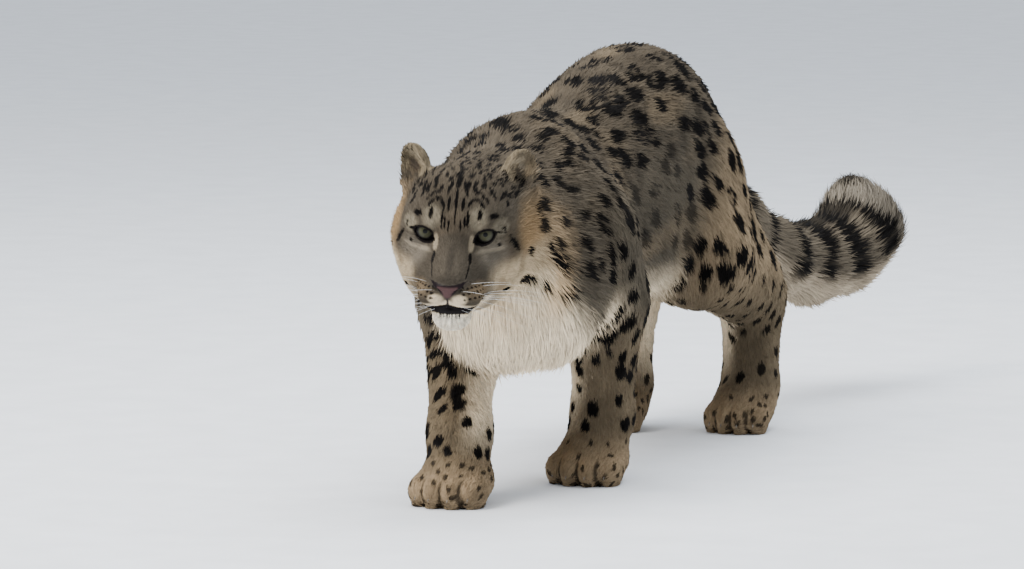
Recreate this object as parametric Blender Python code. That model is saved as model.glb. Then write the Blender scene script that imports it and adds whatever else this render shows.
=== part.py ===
"""A snow leopard in mid walk, life size, as a still model in separate body parts.

The body faces -Y with its left side at +X, and stands on z = 0. Its outer form, coat included, is a
field of rounded masses: the field is negative inside the body, and its zero surface is meshed, parted
with thin cuts into named parts, and dressed with locks where the coat is long. All sizes are in metres.
"""

import itertools
import math
import random

import bmesh
import bpy
import numpy as np
from mathutils import Matrix, Vector

GAP = 0.0003                      # between the faces of two parts that meet

# Long coat: from the core that stands for flesh and underfur, out to the tips of the locks
TAIL_SHARE = 0.36                 # of the tail's radius
CHEEK_COAT = 0.013
CHEST_COAT = 0.018
BELLY_COAT = 0.022
FLOOR = 0.0

# Head: its centre, and how far it is turned, in degrees
HEAD_AT = (0.010, -0.555, 0.376)
HEAD_YAW = 13.2
HEAD_PITCH = 16.9
HEAD_ROLL = -2.8
EYE_AT = (0.0380, 0.0550, 0.0080)  # in the head's own left, forward and up
EYE_RADIUS = 0.0160
EYE_TILT = 24.0                   # degrees: how much higher the outer corner is
LID = 0.0022                      # thickness of the lids
EAR_AT = (0.0635, -0.0420, 0.0425)


def rows(*values):
    return np.array(values, float)


# Field of the body: rounded masses and how they join


def egg(p, centre, radii, turn=None):
    """Distance to an ellipsoid, nearly. The columns of turn are its own axes."""
    q = p - np.asarray(centre, float)
    if turn is not None:
        q = q @ turn
    r = np.asarray(radii, float)
    near = np.linalg.norm(q / r, axis=-1)
    far = np.linalg.norm(q / (r * r), axis=-1)
    return near * (near - 1.0) / np.maximum(far, 1e-9)


def limb(p, a, b, radius_a, radius_b):
    """Distance to a cone from a to b with round ends."""
    a = np.asarray(a, float)
    along = np.asarray(b, float) - a
    t = np.clip(((p - a) @ along) / (along @ along), 0.0, 1.0)
    off = p - a - t[..., None] * along
    return np.linalg.norm(off, axis=-1) - (radius_a + (radius_b - radius_a) * t)


def join(d, e, soft):
    """Both masses, with a fillet of about the size soft."""
    h = np.maximum(soft - np.abs(d - e), 0.0) / soft
    return np.minimum(d, e) - h * h * soft * 0.25


def carve(d, e, soft):
    """The first mass with the second taken out."""
    return -join(-d, e, soft)


def chain(p, stations, soft):
    """Limbs from station to station, each station a point and a radius."""
    d = None
    for (a, radius_a), (b, radius_b) in zip(stations, stations[1:]):
        e = limb(p, a, b, radius_a, radius_b)
        d = e if d is None else join(d, e, soft)
    return d


def mirrored(p, middle=0.0):
    """The points folded to the left side, so that one mass stands for two."""
    return np.stack([np.abs(p[..., 0] - middle), p[..., 1], p[..., 2]], -1)


def tilt_sideways(degrees):
    c, s = math.cos(math.radians(degrees)), math.sin(math.radians(degrees))
    return rows((c, 0, s), (0, 1, 0), (-s, 0, c))


def head_axes():
    """Columns: the head's left, forward and up in the body's axes."""
    yaw, pitch, roll = (math.radians(v) for v in (HEAD_YAW, HEAD_PITCH, HEAD_ROLL))
    forward = rows(
        math.sin(yaw) * math.cos(pitch), -math.cos(yaw) * math.cos(pitch), -math.sin(pitch)
    )
    left = rows(math.cos(yaw), math.sin(yaw), 0.0)
    up = np.cross(forward, left)
    rolled_left = left * math.cos(roll) + up * math.sin(roll)
    rolled_up = up * math.cos(roll) - left * math.sin(roll)
    return np.stack([rolled_left, forward, rolled_up], 1)


HEAD_AXES = head_axes()


def to_head(p):
    return (p - np.asarray(HEAD_AT)) @ HEAD_AXES


def from_head(q):
    return np.asarray(HEAD_AT) + np.asarray(q, float) @ HEAD_AXES.T


def ear_axes():
    up = rows(0.20, -0.06, 1.0)
    up /= np.linalg.norm(up)
    forward = rows(0.40, 1.0, 0.0)
    forward -= up * (forward @ up)
    forward /= np.linalg.norm(forward)
    return np.stack([np.cross(forward, up), forward, up], 1)


EAR_AXES = ear_axes()


def ear_field(m):
    """The rounded cup of an ear, in the head's folded space."""
    q = (m - np.asarray(EAR_AT)) @ EAR_AXES
    shell = egg(q, (0, 0, 0.010), (0.0215, 0.0155, 0.0320))
    shell = join(shell, egg(q, (-0.002, 0.002, -0.012), (0.0240, 0.0190, 0.0260)), 0.010)
    cup = egg(q, (0.001, 0.0150, 0.011), (0.0160, 0.0170, 0.0240))
    return carve(shell, cup, 0.004)


def face_field(m, bare):
    """Skull, cheeks, muzzle and jaw, in the head's folded space."""
    d = egg(m, (0, -0.012, 0.008), (0.070, 0.080, 0.058))
    d = join(d, egg(m, (0, 0.020, 0.004), (0.055, 0.045, 0.052)), 0.03)
    d = join(d, egg(m, (0.044, 0.028, -0.022), (0.036, 0.038, 0.034)), 0.025)
    cheek = rows(0.042, 0.050, 0.056) - bare * CHEEK_COAT
    d = join(d, egg(m, (0.054, -0.028, -0.034), cheek), 0.035)
    d = join(d, egg(m, (0.036, 0.022, -0.062), (0.034, 0.046, 0.034)), 0.03)
    d = join(d, egg(m, (0, 0.040, -0.072), (0.040, 0.052, 0.030)), 0.03)
    d = join(d, egg(m, (0, 0.088, -0.046), (0.035, 0.044, 0.027)), 0.022)
    d = join(d, egg(m, (0.028, 0.066, -0.038), (0.025, 0.038, 0.028)), 0.022)
    d = join(d, egg(m, (0.0185, 0.110, -0.055), (0.0215, 0.0235, 0.0175)), 0.012)
    bridge = m / rows(1.7, 1.0, 1.0)
    d = join(d, limb(bridge, (0, 0.038, 0.020), (0, 0.116, -0.029), 0.0150, 0.0115), 0.014)
    d = join(d, egg(m, (0, 0.088, -0.092), (0.0250, 0.0280, 0.0175)), 0.012)
    return join(d, egg(m, (0.037, 0.040, 0.021), (0.026, 0.022, 0.014)), 0.025)


def lids_field(m, d):
    """The face with a mound round each eye, opened by an almond whose outer corner is the higher."""
    mound = np.linalg.norm(m - np.asarray(EYE_AT), axis=-1) - EYE_RADIUS - LID
    d = join(d, mound, 0.012)
    front = rows(*EYE_AT) + rows(0, EYE_RADIUS, 0)
    tilt = math.radians(EYE_TILT)
    almond = rows((math.cos(tilt), 0, -math.sin(tilt)), (0, 1, 0), (math.sin(tilt), 0, math.cos(tilt)))
    q = (m - front) @ almond
    upper = egg(q, (0, 0, -0.0040), (0.0135, 0.0200, 0.0105))
    lower = egg(q, (0, 0, 0.0035), (0.0130, 0.0200, 0.0100))
    return carve(d, np.maximum(upper, lower), 0.0015)


def nose_and_mouth_field(m, d):
    """The face with its nose leather, nostrils, mouth line and lower lip."""
    pad = join(
        egg(m, (0, 0.1265, -0.0370), (0.0185, 0.0100, 0.0080)),
        egg(m, (0, 0.1265, -0.0465), (0.0090, 0.0090, 0.0080)), 0.006,
    )
    d = join(d, pad, 0.004)
    lip = [((0, 0.1090, -0.0775), 0.0055), ((0.018, 0.1040, -0.0795), 0.0055), ((0.031, 0.0860, -0.0770), 0.0040)]
    d = join(d, chain(m, lip, 0.004), 0.004)
    line = [((0, 0.1215, -0.0660), 0.0018), ((0.013, 0.1190, -0.0715), 0.0022)]
    line += [((0.027, 0.1030, -0.0735), 0.0022), ((0.0365, 0.0820, -0.0710), 0.0014)]
    d = carve(d, chain(m, line, 0.002), 0.003)
    d = carve(d, limb(m, (0, 0.1365, -0.0530), (0, 0.1270, -0.0670), 0.0012, 0.0016), 0.002)
    return carve(d, limb(m, (0.0075, 0.1375, -0.0425), (0.0165, 0.1275, -0.0395), 0.0030, 0.0016), 0.002)


def head_field(p, bare=0):
    m = mirrored(to_head(p))
    d = nose_and_mouth_field(m, lids_field(m, face_field(m, bare)))
    return join(d, ear_field(m), 0.012)


SPINE_X = -0.008


def torso_field(p, bare=0):
    m = mirrored(p, SPINE_X)
    d = egg(m, (0, -0.27, 0.310), rows(0.112, 0.165, 0.140) - bare * rows(0, 0, 0.4) * BELLY_COAT)
    d = join(d, egg(m, (0, -0.270, 0.402), (0.056, 0.140, 0.092)), 0.05)
    d = join(d, egg(m, (0.068, -0.290, 0.350), (0.046, 0.088, 0.112), tilt_sideways(-16)), 0.04)
    d = join(d, egg(m, (0, -0.03, 0.362 + bare * 0.006), (0.114, 0.27, 0.135 - bare * 0.006)), 0.06)
    d = join(d, egg(m, (0, 0.035, 0.435), (0.088, 0.20, 0.110)), 0.05)
    d = join(d, egg(m, (0, 0.135, 0.430), (0.108, 0.165, 0.126)), 0.05)
    belly = rows(0.086, 0.25, 0.065) - bare * rows(0.3, 0, 1) * BELLY_COAT
    return join(d, egg(m, (0, 0.04, 0.285 + bare * 0.3 * BELLY_COAT), belly), 0.06)


def neck_field(p, bare=0):
    line = [((0, -0.34, 0.380), 0.096), ((0.009, -0.45, 0.370), 0.077), ((0.013, -0.53, 0.372), 0.066)]
    d = chain(p, line, 0.04)
    d = join(d, egg(p, (0.018, -0.405, 0.282), rows(0.102, 0.105, 0.115) - bare * CHEST_COAT), 0.05)
    return join(d, egg(p, (0.066, -0.370, 0.270), rows(0.062, 0.080, 0.095) - bare * CHEST_COAT), 0.04)


# Legs: stations from the body to the paw. Front legs bend at the elbow, hind legs at knee and hock.
LEGS = {
    "front_right": dict(
        side=-1, front=True, top=(-0.084, -0.30, 0.34), top_r=0.064, knee=(-0.080, -0.325, 0.245),
        knee_r=0.053, ankle=(-0.045, -0.425, 0.085), ankle_r=0.037, paw=(-0.037, -0.455, 0.0),
    ),
    "front_left": dict(
        side=1, front=True, top=(0.080, -0.28, 0.34), top_r=0.062, knee=(0.078, -0.215, 0.245),
        knee_r=0.052, ankle=(0.060, -0.175, 0.085), ankle_r=0.037, paw=(0.055, -0.200, 0.0),
    ),
    "hind_left": dict(
        side=1, front=False, top=(0.048, 0.170, 0.38), top_r=0.078, knee=(0.078, 0.145, 0.275),
        knee_r=0.068, hock=(0.080, 0.385, 0.185), hock_r=0.044, ankle=(0.076, 0.390, 0.060),
        ankle_r=0.038, paw=(0.074, 0.362, 0.0),
    ),
    "hind_right": dict(
        side=-1, front=False, top=(-0.066, 0.155, 0.38), top_r=0.078, knee=(-0.090, 0.115, 0.275),
        knee_r=0.068, hock=(-0.096, 0.350, 0.180), hock_r=0.043, ankle=(-0.097, 0.345, 0.060),
        ankle_r=0.037, paw=(-0.098, 0.315, 0.0),
    ),
}
PAW_CORE = 0.035                  # height of the paw's middle over the floor
SOLE_EDGE = 0.006                 # below this height a paw goes straight down to its flat sole
BELOW_FLOOR = 0.020               # how far the uncut paw reaches under the floor
TOES = ((-0.036, 0.030), (-0.013, 0.042), (0.013, 0.042), (0.036, 0.030))


def paw_field(p, leg):
    size = 1.0 if leg["front"] else 0.90
    q = (p - np.asarray(leg["paw"])) * rows(1, -1, 1)
    q[..., 2] = np.maximum(q[..., 2], SOLE_EDGE)
    d = egg(q, (0, 0, 0.030), (0.048 * size, 0.050 * size, 0.036))
    for x, y in TOES:
        toe = egg(q, (x * size, y * size, 0.020), (0.017 * size, 0.026 * size, 0.022))
        d = join(d, toe, 0.010)
    return np.maximum(d, -BELOW_FLOOR - p[..., 2])


def leg_field(p, leg):
    sole = np.asarray(leg["paw"]) + rows(0, 0, PAW_CORE)
    if leg["front"]:
        stations = [(leg["top"], leg["top_r"]), (leg["knee"], leg["knee_r"])]
        stations += [(leg["ankle"], leg["ankle_r"]), (sole, 0.034)]
        d = chain(p, stations, 0.03)
    else:
        top, hock = np.asarray(leg["top"]), np.asarray(leg["hock"])
        d = limb(p, top, leg["knee"], leg["top_r"], leg["knee_r"])
        d = join(d, limb(p, leg["knee"], hock, leg["knee_r"], leg["hock_r"]), 0.05)
        d = join(d, limb(p, top + rows(0, 0.050, -0.03), hock + rows(0, -0.03, 0.045), 0.070, 0.040), 0.05)
        lower = [(hock, leg["hock_r"]), (leg["ankle"], leg["ankle_r"]), (sole, 0.032)]
        d = join(d, chain(p, lower, 0.02), 0.02)
    return join(d, paw_field(p, leg), 0.02)


TAIL = [
    ((-0.008, 0.25, 0.440), 0.060), ((-0.004, 0.35, 0.375), 0.048), ((0.010, 0.48, 0.287), 0.051),
    ((0.024, 0.62, 0.220), 0.057), ((0.038, 0.76, 0.198), 0.060), ((0.059, 0.862, 0.206), 0.061),
    ((0.076, 0.918, 0.238), 0.058), ((0.066, 0.902, 0.266), 0.051),
]


def tail_field(p, bare=0):
    return chain(p, [(spot, radius * (1 - bare * TAIL_SHARE)) for spot, radius in TAIL], 0.035)


def within(box, p, field):
    """The field where it is near enough to its box to matter, and else the distance to the box."""
    d = np.maximum(box[0] - p, p - box[1]).max(-1)
    near = d < REACH
    d[near] = field(p[near])
    return d


def box_round(stations, spare=0.02):
    """Low and high corners round points with radii."""
    spots = rows(*[spot for spot, _ in stations])
    radii = rows(*[radius for _, radius in stations])[:, None]
    return (spots - radii).min(0) - spare, (spots + radii).max(0) + spare


def leg_box(leg):
    foot = np.asarray(leg["paw"]) + rows(0, -0.03, 0)
    joints = [(leg["top"], leg["top_r"]), (leg["knee"], leg["knee_r"]), (leg["ankle"], leg["ankle_r"])]
    return box_round(joints + [(leg.get("hock", leg["ankle"]), 0.045), (foot, 0.055)])


REACH = 0.07                      # farther off than any fillet is wide
TORSO_BOX = (rows(-0.15, -0.47, 0.14), rows(0.14, 0.33, 0.58))
NECK_BOX = (rows(-0.12, -0.63, 0.14), rows(0.15, -0.22, 0.50))
HEAD_BOX = (rows(-0.13, -0.71, 0.21), rows(0.16, -0.43, 0.52))


def body_field(p, bare=0):
    """The whole body: out to the tips of the coat, or bare of its long locks."""
    d = within(TORSO_BOX, p, lambda q: torso_field(q, bare))
    for leg in LEGS.values():
        d = join(d, within(leg_box(leg), p, lambda q: leg_field(q, leg)), 0.04)
    d = join(d, within(NECK_BOX, p, lambda q: neck_field(q, bare)), 0.05)
    d = join(d, within(HEAD_BOX, p, lambda q: head_field(q, bare)), 0.03)
    return join(d, within(box_round(TAIL), p, lambda q: tail_field(q, bare)), 0.035)


# end of field


# Meshing: each cell of a grid is six tetrahedra, and the surface crosses each as one or two triangles

COARSE = 4                        # cells of the fine grid to one step of the coarse grid
LEAST_SHARE = 0.04                # a corner keeps this share of its grid edge from either end
ONE_INSIDE = ((0, 1, 2, 3), (1, 0, 3, 2), (2, 3, 0, 1), (3, 2, 1, 0))
TWO_INSIDE = ((0, 1, 2, 3), (0, 2, 3, 1), (0, 3, 1, 2), (1, 2, 0, 3), (1, 3, 2, 0), (2, 3, 0, 1))


def sample(field, low, count, cell):
    """The field on a grid: exact near the surface, and rough away from it."""
    coarse_count = [(n - 1) // COARSE + 2 for n in count]
    ticks = [low[i] + cell * COARSE * np.arange(coarse_count[i]) for i in range(3)]
    spots = np.stack(np.meshgrid(*ticks, indexing="ij"), -1)
    rough = field(spots.reshape(-1, 3)).reshape(coarse_count)
    nearest = [(np.arange(n) + COARSE // 2) // COARSE for n in count]
    values = rough[np.ix_(*nearest)].copy()
    near = np.abs(values) < 1.8 * COARSE * cell
    values[near] = field(low + np.argwhere(near) * cell)
    return values


def crossed_cells(values):
    """The low corner of each grid cell that has corners on both sides of the surface."""
    inside = values < 0
    count = np.zeros([n - 1 for n in values.shape], int)
    for offset in np.ndindex(2, 2, 2):
        window = tuple(slice(o, o + n) for o, n in zip(offset, count.shape))
        count += inside[window]
    return np.argwhere((count > 0) & (count < 8))


def tetrahedra(values):
    """Grid numbers of the corners of each tetrahedron in the crossed cells, all of one handedness."""
    cells = crossed_cells(values)
    found = []
    for order in itertools.permutations(range(3)):
        corner = np.zeros(3, int)
        walk = [corner.copy()]
        for axis in order:
            corner[axis] = 1
            walk.append(corner.copy())
        if order not in ((0, 1, 2), (1, 2, 0), (2, 0, 1)):
            walk[2], walk[3] = walk[3], walk[2]
        found.append(np.stack([np.ravel_multi_index((cells + w).T, values.shape) for w in walk], 1))
    return np.concatenate(found)


def crossings(corners, inside):
    """Triangles that face out of the body. Each of their corners is a grid edge, as its two ends."""
    held = inside[corners]
    count = held.sum(1)
    triangles = []
    for i, j, k, l in ONE_INSIDE:
        for full, ring in ((held[:, i] & (count == 1), (j, k, l)), (~held[:, i] & (count == 3), (j, l, k))):
            rows_of = corners[full]
            triangles.append(np.stack([rows_of[:, (i, end)] for end in ring], 1))
    for i, j, k, l in TWO_INSIDE:
        rows_of = corners[held[:, i] & held[:, j] & (count == 2)]
        ring = [rows_of[:, ends] for ends in ((i, k), (i, l), (j, l), (j, k))]
        triangles.append(np.stack([ring[0], ring[1], ring[2]], 1))
        triangles.append(np.stack([ring[0], ring[2], ring[3]], 1))
    return np.sort(np.concatenate(triangles), axis=2)


def surface(field, low, high, cell):
    """Corners and faces of the field's zero surface in a box that holds all of it."""
    low = np.asarray(low, float)
    count = [int(math.ceil(n)) + 1 for n in (np.asarray(high) - low) / cell]
    values = sample(field, low, count, cell)
    flat = values.reshape(-1)
    triangles = crossings(tetrahedra(values), flat < 0)
    ends, faces = np.unique(triangles.reshape(-1, 2), axis=0, return_inverse=True)
    spots = [low + cell * np.stack(np.unravel_index(e, values.shape), -1) for e in ends.T]
    share = flat[ends[:, 0]] / (flat[ends[:, 0]] - flat[ends[:, 1]])
    share = np.clip(share, LEAST_SHARE, 1 - LEAST_SHARE)[:, None]
    return spots[0] * (1 - share) + spots[1] * share, faces.reshape(-1, 3)


# Blender objects


def clear_scene():
    for obj in list(bpy.data.objects):
        bpy.data.objects.remove(obj, do_unlink=True)


def mesh_object(name, points, faces):
    mesh = bpy.data.meshes.new(name)
    mesh.from_pydata([tuple(p) for p in points], [], [tuple(f) for f in faces])
    mesh.validate()
    obj = bpy.data.objects.new(name, mesh)
    bpy.context.scene.collection.objects.link(obj)
    return obj


def applied(obj):
    """The object with its modifiers made part of its mesh."""
    bpy.context.view_layer.update()
    graph = bpy.context.evaluated_depsgraph_get()
    mesh = bpy.data.meshes.new_from_object(obj.evaluated_get(graph))
    obj.modifiers.clear()
    old = obj.data
    obj.data = mesh
    bpy.data.meshes.remove(old)
    return obj


def combine(obj, others, operation):
    """A Boolean with closed meshes, which are then removed."""
    group = bpy.data.collections.new("pieces")
    bpy.context.scene.collection.children.link(group)
    for other in others:
        bpy.context.scene.collection.objects.unlink(other)
        group.objects.link(other)
    step = obj.modifiers.new(operation.lower(), "BOOLEAN")
    step.operation = operation
    step.solver = "MANIFOLD"
    step.operand_type = "COLLECTION"
    step.collection = group
    applied(obj)
    for other in others:
        bpy.data.objects.remove(other, do_unlink=True)
    bpy.data.collections.remove(group)
    return obj


def thinned(obj, triangles):
    """The object with about so many triangles, smallest where its surface bends most."""
    step = obj.modifiers.new("thin", "DECIMATE")
    step.ratio = min(1.0, triangles / len(obj.data.polygons))
    step.use_collapse_triangulate = True
    return applied(obj)


def volume_of(faces):
    """Six times the signed volume that the faces of a closed surface hold."""
    total = 0.0
    for face in faces:
        first, *rest = [v.co for v in face.verts]
        for second, third in zip(rest, rest[1:]):
            total += first.dot(second.cross(third))
    return total


def keep_largest(obj):
    """Drops every closed surface of the mesh but the one that holds most."""
    bm = bmesh.new()
    bm.from_mesh(obj.data)
    unseen = set(bm.faces)
    shells = []
    while unseen:
        shell = [unseen.pop()]
        for face in shell:
            for edge in face.edges:
                for other in edge.link_faces:
                    if other in unseen:
                        unseen.remove(other)
                        shell.append(other)
        shells.append(shell)
    best = max(shells, key=volume_of)
    loose = [face for shell in shells if shell is not best for face in shell]
    bmesh.ops.delete(bm, geom=loose, context="FACES")
    bm.to_mesh(obj.data)
    bm.free()
    return obj


# Regions: boxes in their own axes, each taken out of the body in turn


class Region:
    """A box: where it is, its axes as columns, and its low and high corners along them."""

    def __init__(self, origin, axes, low, high):
        self.origin = np.asarray(origin, float)
        self.axes = np.asarray(axes, float)
        self.low = np.asarray(low, float)
        self.high = np.asarray(high, float)

    def distance(self, p):
        q = (p - self.origin) @ self.axes
        return np.maximum(self.low - q, q - self.high).max(-1)

    def corners(self, grow=0.0):
        low, high = self.low - grow, self.high + grow
        picks = [[(low, high)[bit][i] for i, bit in enumerate(bits)] for bits in np.ndindex(2, 2, 2)]
        return self.origin + rows(*picks) @ self.axes.T

    def solid(self, grow=0.0):
        faces = [(0, 1, 3, 2), (4, 6, 7, 5), (0, 4, 5, 1), (2, 3, 7, 6), (0, 2, 6, 4), (1, 5, 7, 3)]
        if np.linalg.det(self.axes) < 0:
            faces = [face[::-1] for face in faces]
        return mesh_object("region", self.corners(grow), faces)


WORLD = np.eye(3)


def along(a, b, side):
    """Axes with the third from a to b, and the first as near to side as it can be."""
    up = rows(*b) - rows(*a)
    up /= np.linalg.norm(up)
    across = rows(*side) - up * (rows(*side) @ up)
    across /= np.linalg.norm(across)
    return np.stack([across, np.cross(up, across), up], 1)


def flesh(name, region, cell, triangles, coat, taken):
    """The body's solid and its locks in a region, without the regions already taken."""

    def field(p):
        return np.maximum(body_field(p, 1), region.distance(p) - 1.6 * cell)

    corners = region.corners(3 * cell)
    low = np.maximum(corners.min(0), BODY_LOW)
    high = np.minimum(corners.max(0), BODY_HIGH)
    obj = thinned(mesh_object(name, *surface(field, low, high, cell)), triangles)
    if coat:
        combine(obj, coat, "UNION")
    combine(obj, [region.solid()], "INTERSECT")
    near = [other for other in taken if reach_each_other(region, other)]
    if near:
        combine(obj, [other.solid(GAP) for other in near], "DIFFERENCE")
    return keep_largest(obj)


def reach_each_other(region, other):
    a, b = region.corners(), other.corners(GAP)
    return bool((a.min(0) < b.max(0)).all() and (b.min(0) < a.max(0)).all())


# Where the parts meet. A region that is listed first is taken out of those after it.

BODY_LOW = rows(-0.26, -0.80, -0.06)
BODY_HIGH = rows(0.26, 1.08, 0.66)
PAW_TOP = 0.078                   # height of the cut over a paw
NECK_END = -0.345                 # y of the cuts across the trunk
CHEST_END = -0.090
LOIN_END = 0.070


def head_regions():
    regions = {}
    for name, side in (("ear_left", 1), ("ear_right", -1)):
        lean = along((0, 0, 0), (0.50 * side, -0.05, 0.86), (side, 0, 0))
        root = from_head((EAR_AT[0] * side, EAR_AT[1], EAR_AT[2] - 0.004))
        regions[name] = Region(root, HEAD_AXES @ lean, (-0.030, -0.024, 0.0), (0.034, 0.027, 0.065))
    regions["nose"] = Region(from_head((0, 0.121, -0.040)), HEAD_AXES, (-0.024, 0, -0.0125), (0.024, 0.05, 0.0125))
    regions["head"] = Region(HEAD_AT, HEAD_AXES, (-0.14, -0.072, -0.112), (0.14, 0.20, 0.20))
    return regions


def paw_region(leg):
    x, y, _ = leg["paw"]
    return Region((x, y, FLOOR), WORLD, (-0.066, -0.090, 0), (0.066, 0.080, PAW_TOP))


def lower_region(leg):
    if leg["front"]:
        axes = along(leg["knee"], leg["ankle"], (1, 0, 0))
        return Region(leg["knee"], axes, (-0.064, -0.070, 0), (0.064, 0.070, 0.25))
    axes = along(leg["knee"], leg["hock"], (1, 0, 0))
    start = rows(*leg["knee"]) * 0.55 + rows(*leg["hock"]) * 0.45
    return Region(start, axes, (-0.066, -0.085, 0), (0.066, 0.26, 0.26))


def upper_region(leg):
    side = leg["side"]
    middle = (leg["top"][1] + leg["knee"][1]) / 2
    foot = (SPINE_X + 0.034 * side, middle, 0.19)
    axes = along((0, 0, 0), (0.16 * side, 0, 1), (side, 0, 0))
    if leg["front"]:
        return Region(foot, axes, (0, -0.105, 0), (0.20, 0.100, 0.245))
    return Region(foot, axes, (0, -0.105, -0.06), (0.20, 0.24, 0.27))


def tail_region(station, fraction, width):
    (a, _), (b, _) = TAIL[station], TAIL[station + 1]
    start = rows(*a) * (1 - fraction) + rows(*b) * fraction
    return Region(start, along(a, b, (1, 0, 0)), (-width, -width, 0), (width, width, 0.35))


def slab(low_y, high_y):
    return Region((0, 0, 0), WORLD, (-0.3, low_y, 0.10), (0.3, high_y, 0.62))


def body_regions():
    regions = {f"paw_{name}": paw_region(leg) for name, leg in LEGS.items()}
    regions |= {f"lower_leg_{name}": lower_region(leg) for name, leg in LEGS.items()}
    regions |= {f"upper_leg_{name}": upper_region(leg) for name, leg in LEGS.items()}
    regions |= head_regions()
    regions["tail_tip"] = tail_region(4, 0.1, 0.16)
    regions["tail_middle"] = tail_region(2, 0.3, 0.11)
    regions["tail_root"] = tail_region(0, 0.6, 0.075)
    regions["neck"] = slab(-0.70, NECK_END)
    regions["chest"] = slab(NECK_END - 0.01, CHEST_END)
    regions["loin"] = slab(CHEST_END - 0.01, LOIN_END)
    regions["hips"] = slab(LOIN_END - 0.01, 0.42)
    return regions


DETAIL = {
    "ear": (0.0026, 400), "nose": (0.0016, 260), "head": (0.0026, 2700), "paw": (0.0045, 480),
    "lower": (0.0060, 320), "upper": (0.0080, 320), "tail": (0.0060, 200), "neck": (0.0070, 400),
    "chest": (0.0080, 420), "loin": (0.0080, 260), "hips": (0.0080, 440),
}                                 # grid cell and triangles, by the first word of the name


# Locks of the long coat: flat, tapered, and bent along the surface that they grow from

LOCK_STEPS = (0.0, 0.34, 0.70, 1.0)  # shares of the length: root, shoulder, waist and tip
LOCK_WIDTHS = (0.70, 1.00, 0.66)     # shares of the width, root to waist
LOCK_HEIGHTS = (-0.50, 0.50, 0.86)   # shares of the lift over the core
LOCK_THICKNESS = (0.30, 0.24, 0.18)  # shares of the width
MARCH = 6                            # steps along the core from one end of a lock to the other


def core(p):
    return body_field(p, 1)


def unit(v):
    return v / np.maximum(np.linalg.norm(v, axis=-1, keepdims=True), 1e-12)


def across_surface(v, normal):
    return unit(v - normal * (v * normal).sum(-1, keepdims=True))


def march(roots, lies, lengths):
    """Points, normals and directions along the core, from each root the way the coat lies there."""
    spots, headings = settle(roots), lies
    track = []
    for _ in range(MARCH + 1):
        normals = unit(slope(core, spots))
        headings = across_surface(0.75 * headings + 0.25 * lies, normals)
        track.append((spots, normals, headings))
        spots = settle(spots + headings * (lengths[:, None] / MARCH))
    return track


def settle(p, rounds=2):
    """Points moved onto the surface of the core."""
    for _ in range(rounds):
        g = slope(core, p)
        p = p - g * (core(p) / np.maximum((g * g).sum(-1), 0.05))[:, None]
    return p


def slope(field, p, step=1e-4):
    """The field's gradient, by differences."""
    shifts = np.eye(3) * step
    return np.stack([(field(p + s) - field(p - s)) / (2 * step) for s in shifts], -1)


def lock_mesh(track, width, lift, bend):
    """One lock as a closed mesh: rings of four corners that end in a point, bowed across their width."""
    points, faces = [], [(0, 1, 2, 3)]
    for ring, share in enumerate(LOCK_STEPS[:-1]):
        spot, normal, heading = track[round(share * MARCH)]
        side = np.cross(heading, normal)
        centre = spot + normal * lift * LOCK_HEIGHTS[ring]
        half = 0.5 * width * LOCK_WIDTHS[ring]
        thick = normal * 0.5 * width * LOCK_THICKNESS[ring]
        bow = normal * half * half / (2 * bend)
        points += [centre + side * half - bow, centre + thick, centre - side * half - bow, centre - thick]
        if ring:
            low = 4 * (ring - 1)
            faces += [(low + 4 + i, low + 4 + (i + 1) % 4, low + (i + 1) % 4, low + i) for i in range(4)]
    spot, normal, _ = track[MARCH]
    points.append(spot + normal * lift)
    tip, low = len(points) - 1, len(points) - 5
    faces += [(tip, low + (i + 1) % 4, low + i) for i in range(4)]
    return mesh_object("lock", points, faces)


def grow(locks):
    """Meshes of locks: each is a root, a lie, a length, a width, a lift and the radius it bows to."""
    if not locks:
        return []
    roots, lies, lengths, widths, lifts, bends = (np.array(column, float) for column in zip(*locks))
    track = march(roots, unit(lies), lengths)
    return [
        lock_mesh([tuple(part[i] for part in step) for step in track], widths[i], lifts[i], bends[i])
        for i in range(len(locks))
    ]


def tail_station(share):
    """A point on the tail's middle line, the way it runs there, and its radius."""
    spots = rows(*[spot for spot, _ in TAIL])
    steps = np.linalg.norm(np.diff(spots, axis=0), axis=1)
    at = share * steps.sum()
    reach = np.concatenate([[0], np.cumsum(steps)])
    i = min(int(np.searchsorted(reach, at, "right")) - 1, len(steps) - 1)
    t = (at - reach[i]) / steps[i]
    radius = TAIL[i][1] * (1 - t) + TAIL[i + 1][1] * t
    return spots[i] + (spots[i + 1] - spots[i]) * t, unit(spots[i + 1] - spots[i]), radius


def tail_locks(first, last, count, ring, seed):
    """Rings of locks on a length of the tail, each ring turned half a lock from the one before."""
    draw = random.Random(seed)
    found = []
    for row in range(count):
        share = first + (last - first) * row / max(count - 1, 1)
        middle, run, radius = tail_station(share)
        side = unit(np.cross(run, rows(0, 0, 1)))
        up = np.cross(side, run)
        for i in range(ring):
            angle = 2 * math.pi * (i + 0.5 * (row % 2) + draw.uniform(-0.08, 0.08)) / ring
            out = side * math.cos(angle) + up * math.sin(angle)
            lie = run + 0.10 * draw.uniform(-1, 1) * np.cross(run, out)
            length = TAIL_LOCK * draw.uniform(0.92, 1.06)
            root = middle + out * radius * (1 - TAIL_SHARE)
            width = 2.0 * math.pi * radius / ring
            found.append((root, lie, length, width, radius * TAIL_SHARE * draw.uniform(0.9, 1.0), radius))
    return found


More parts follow.
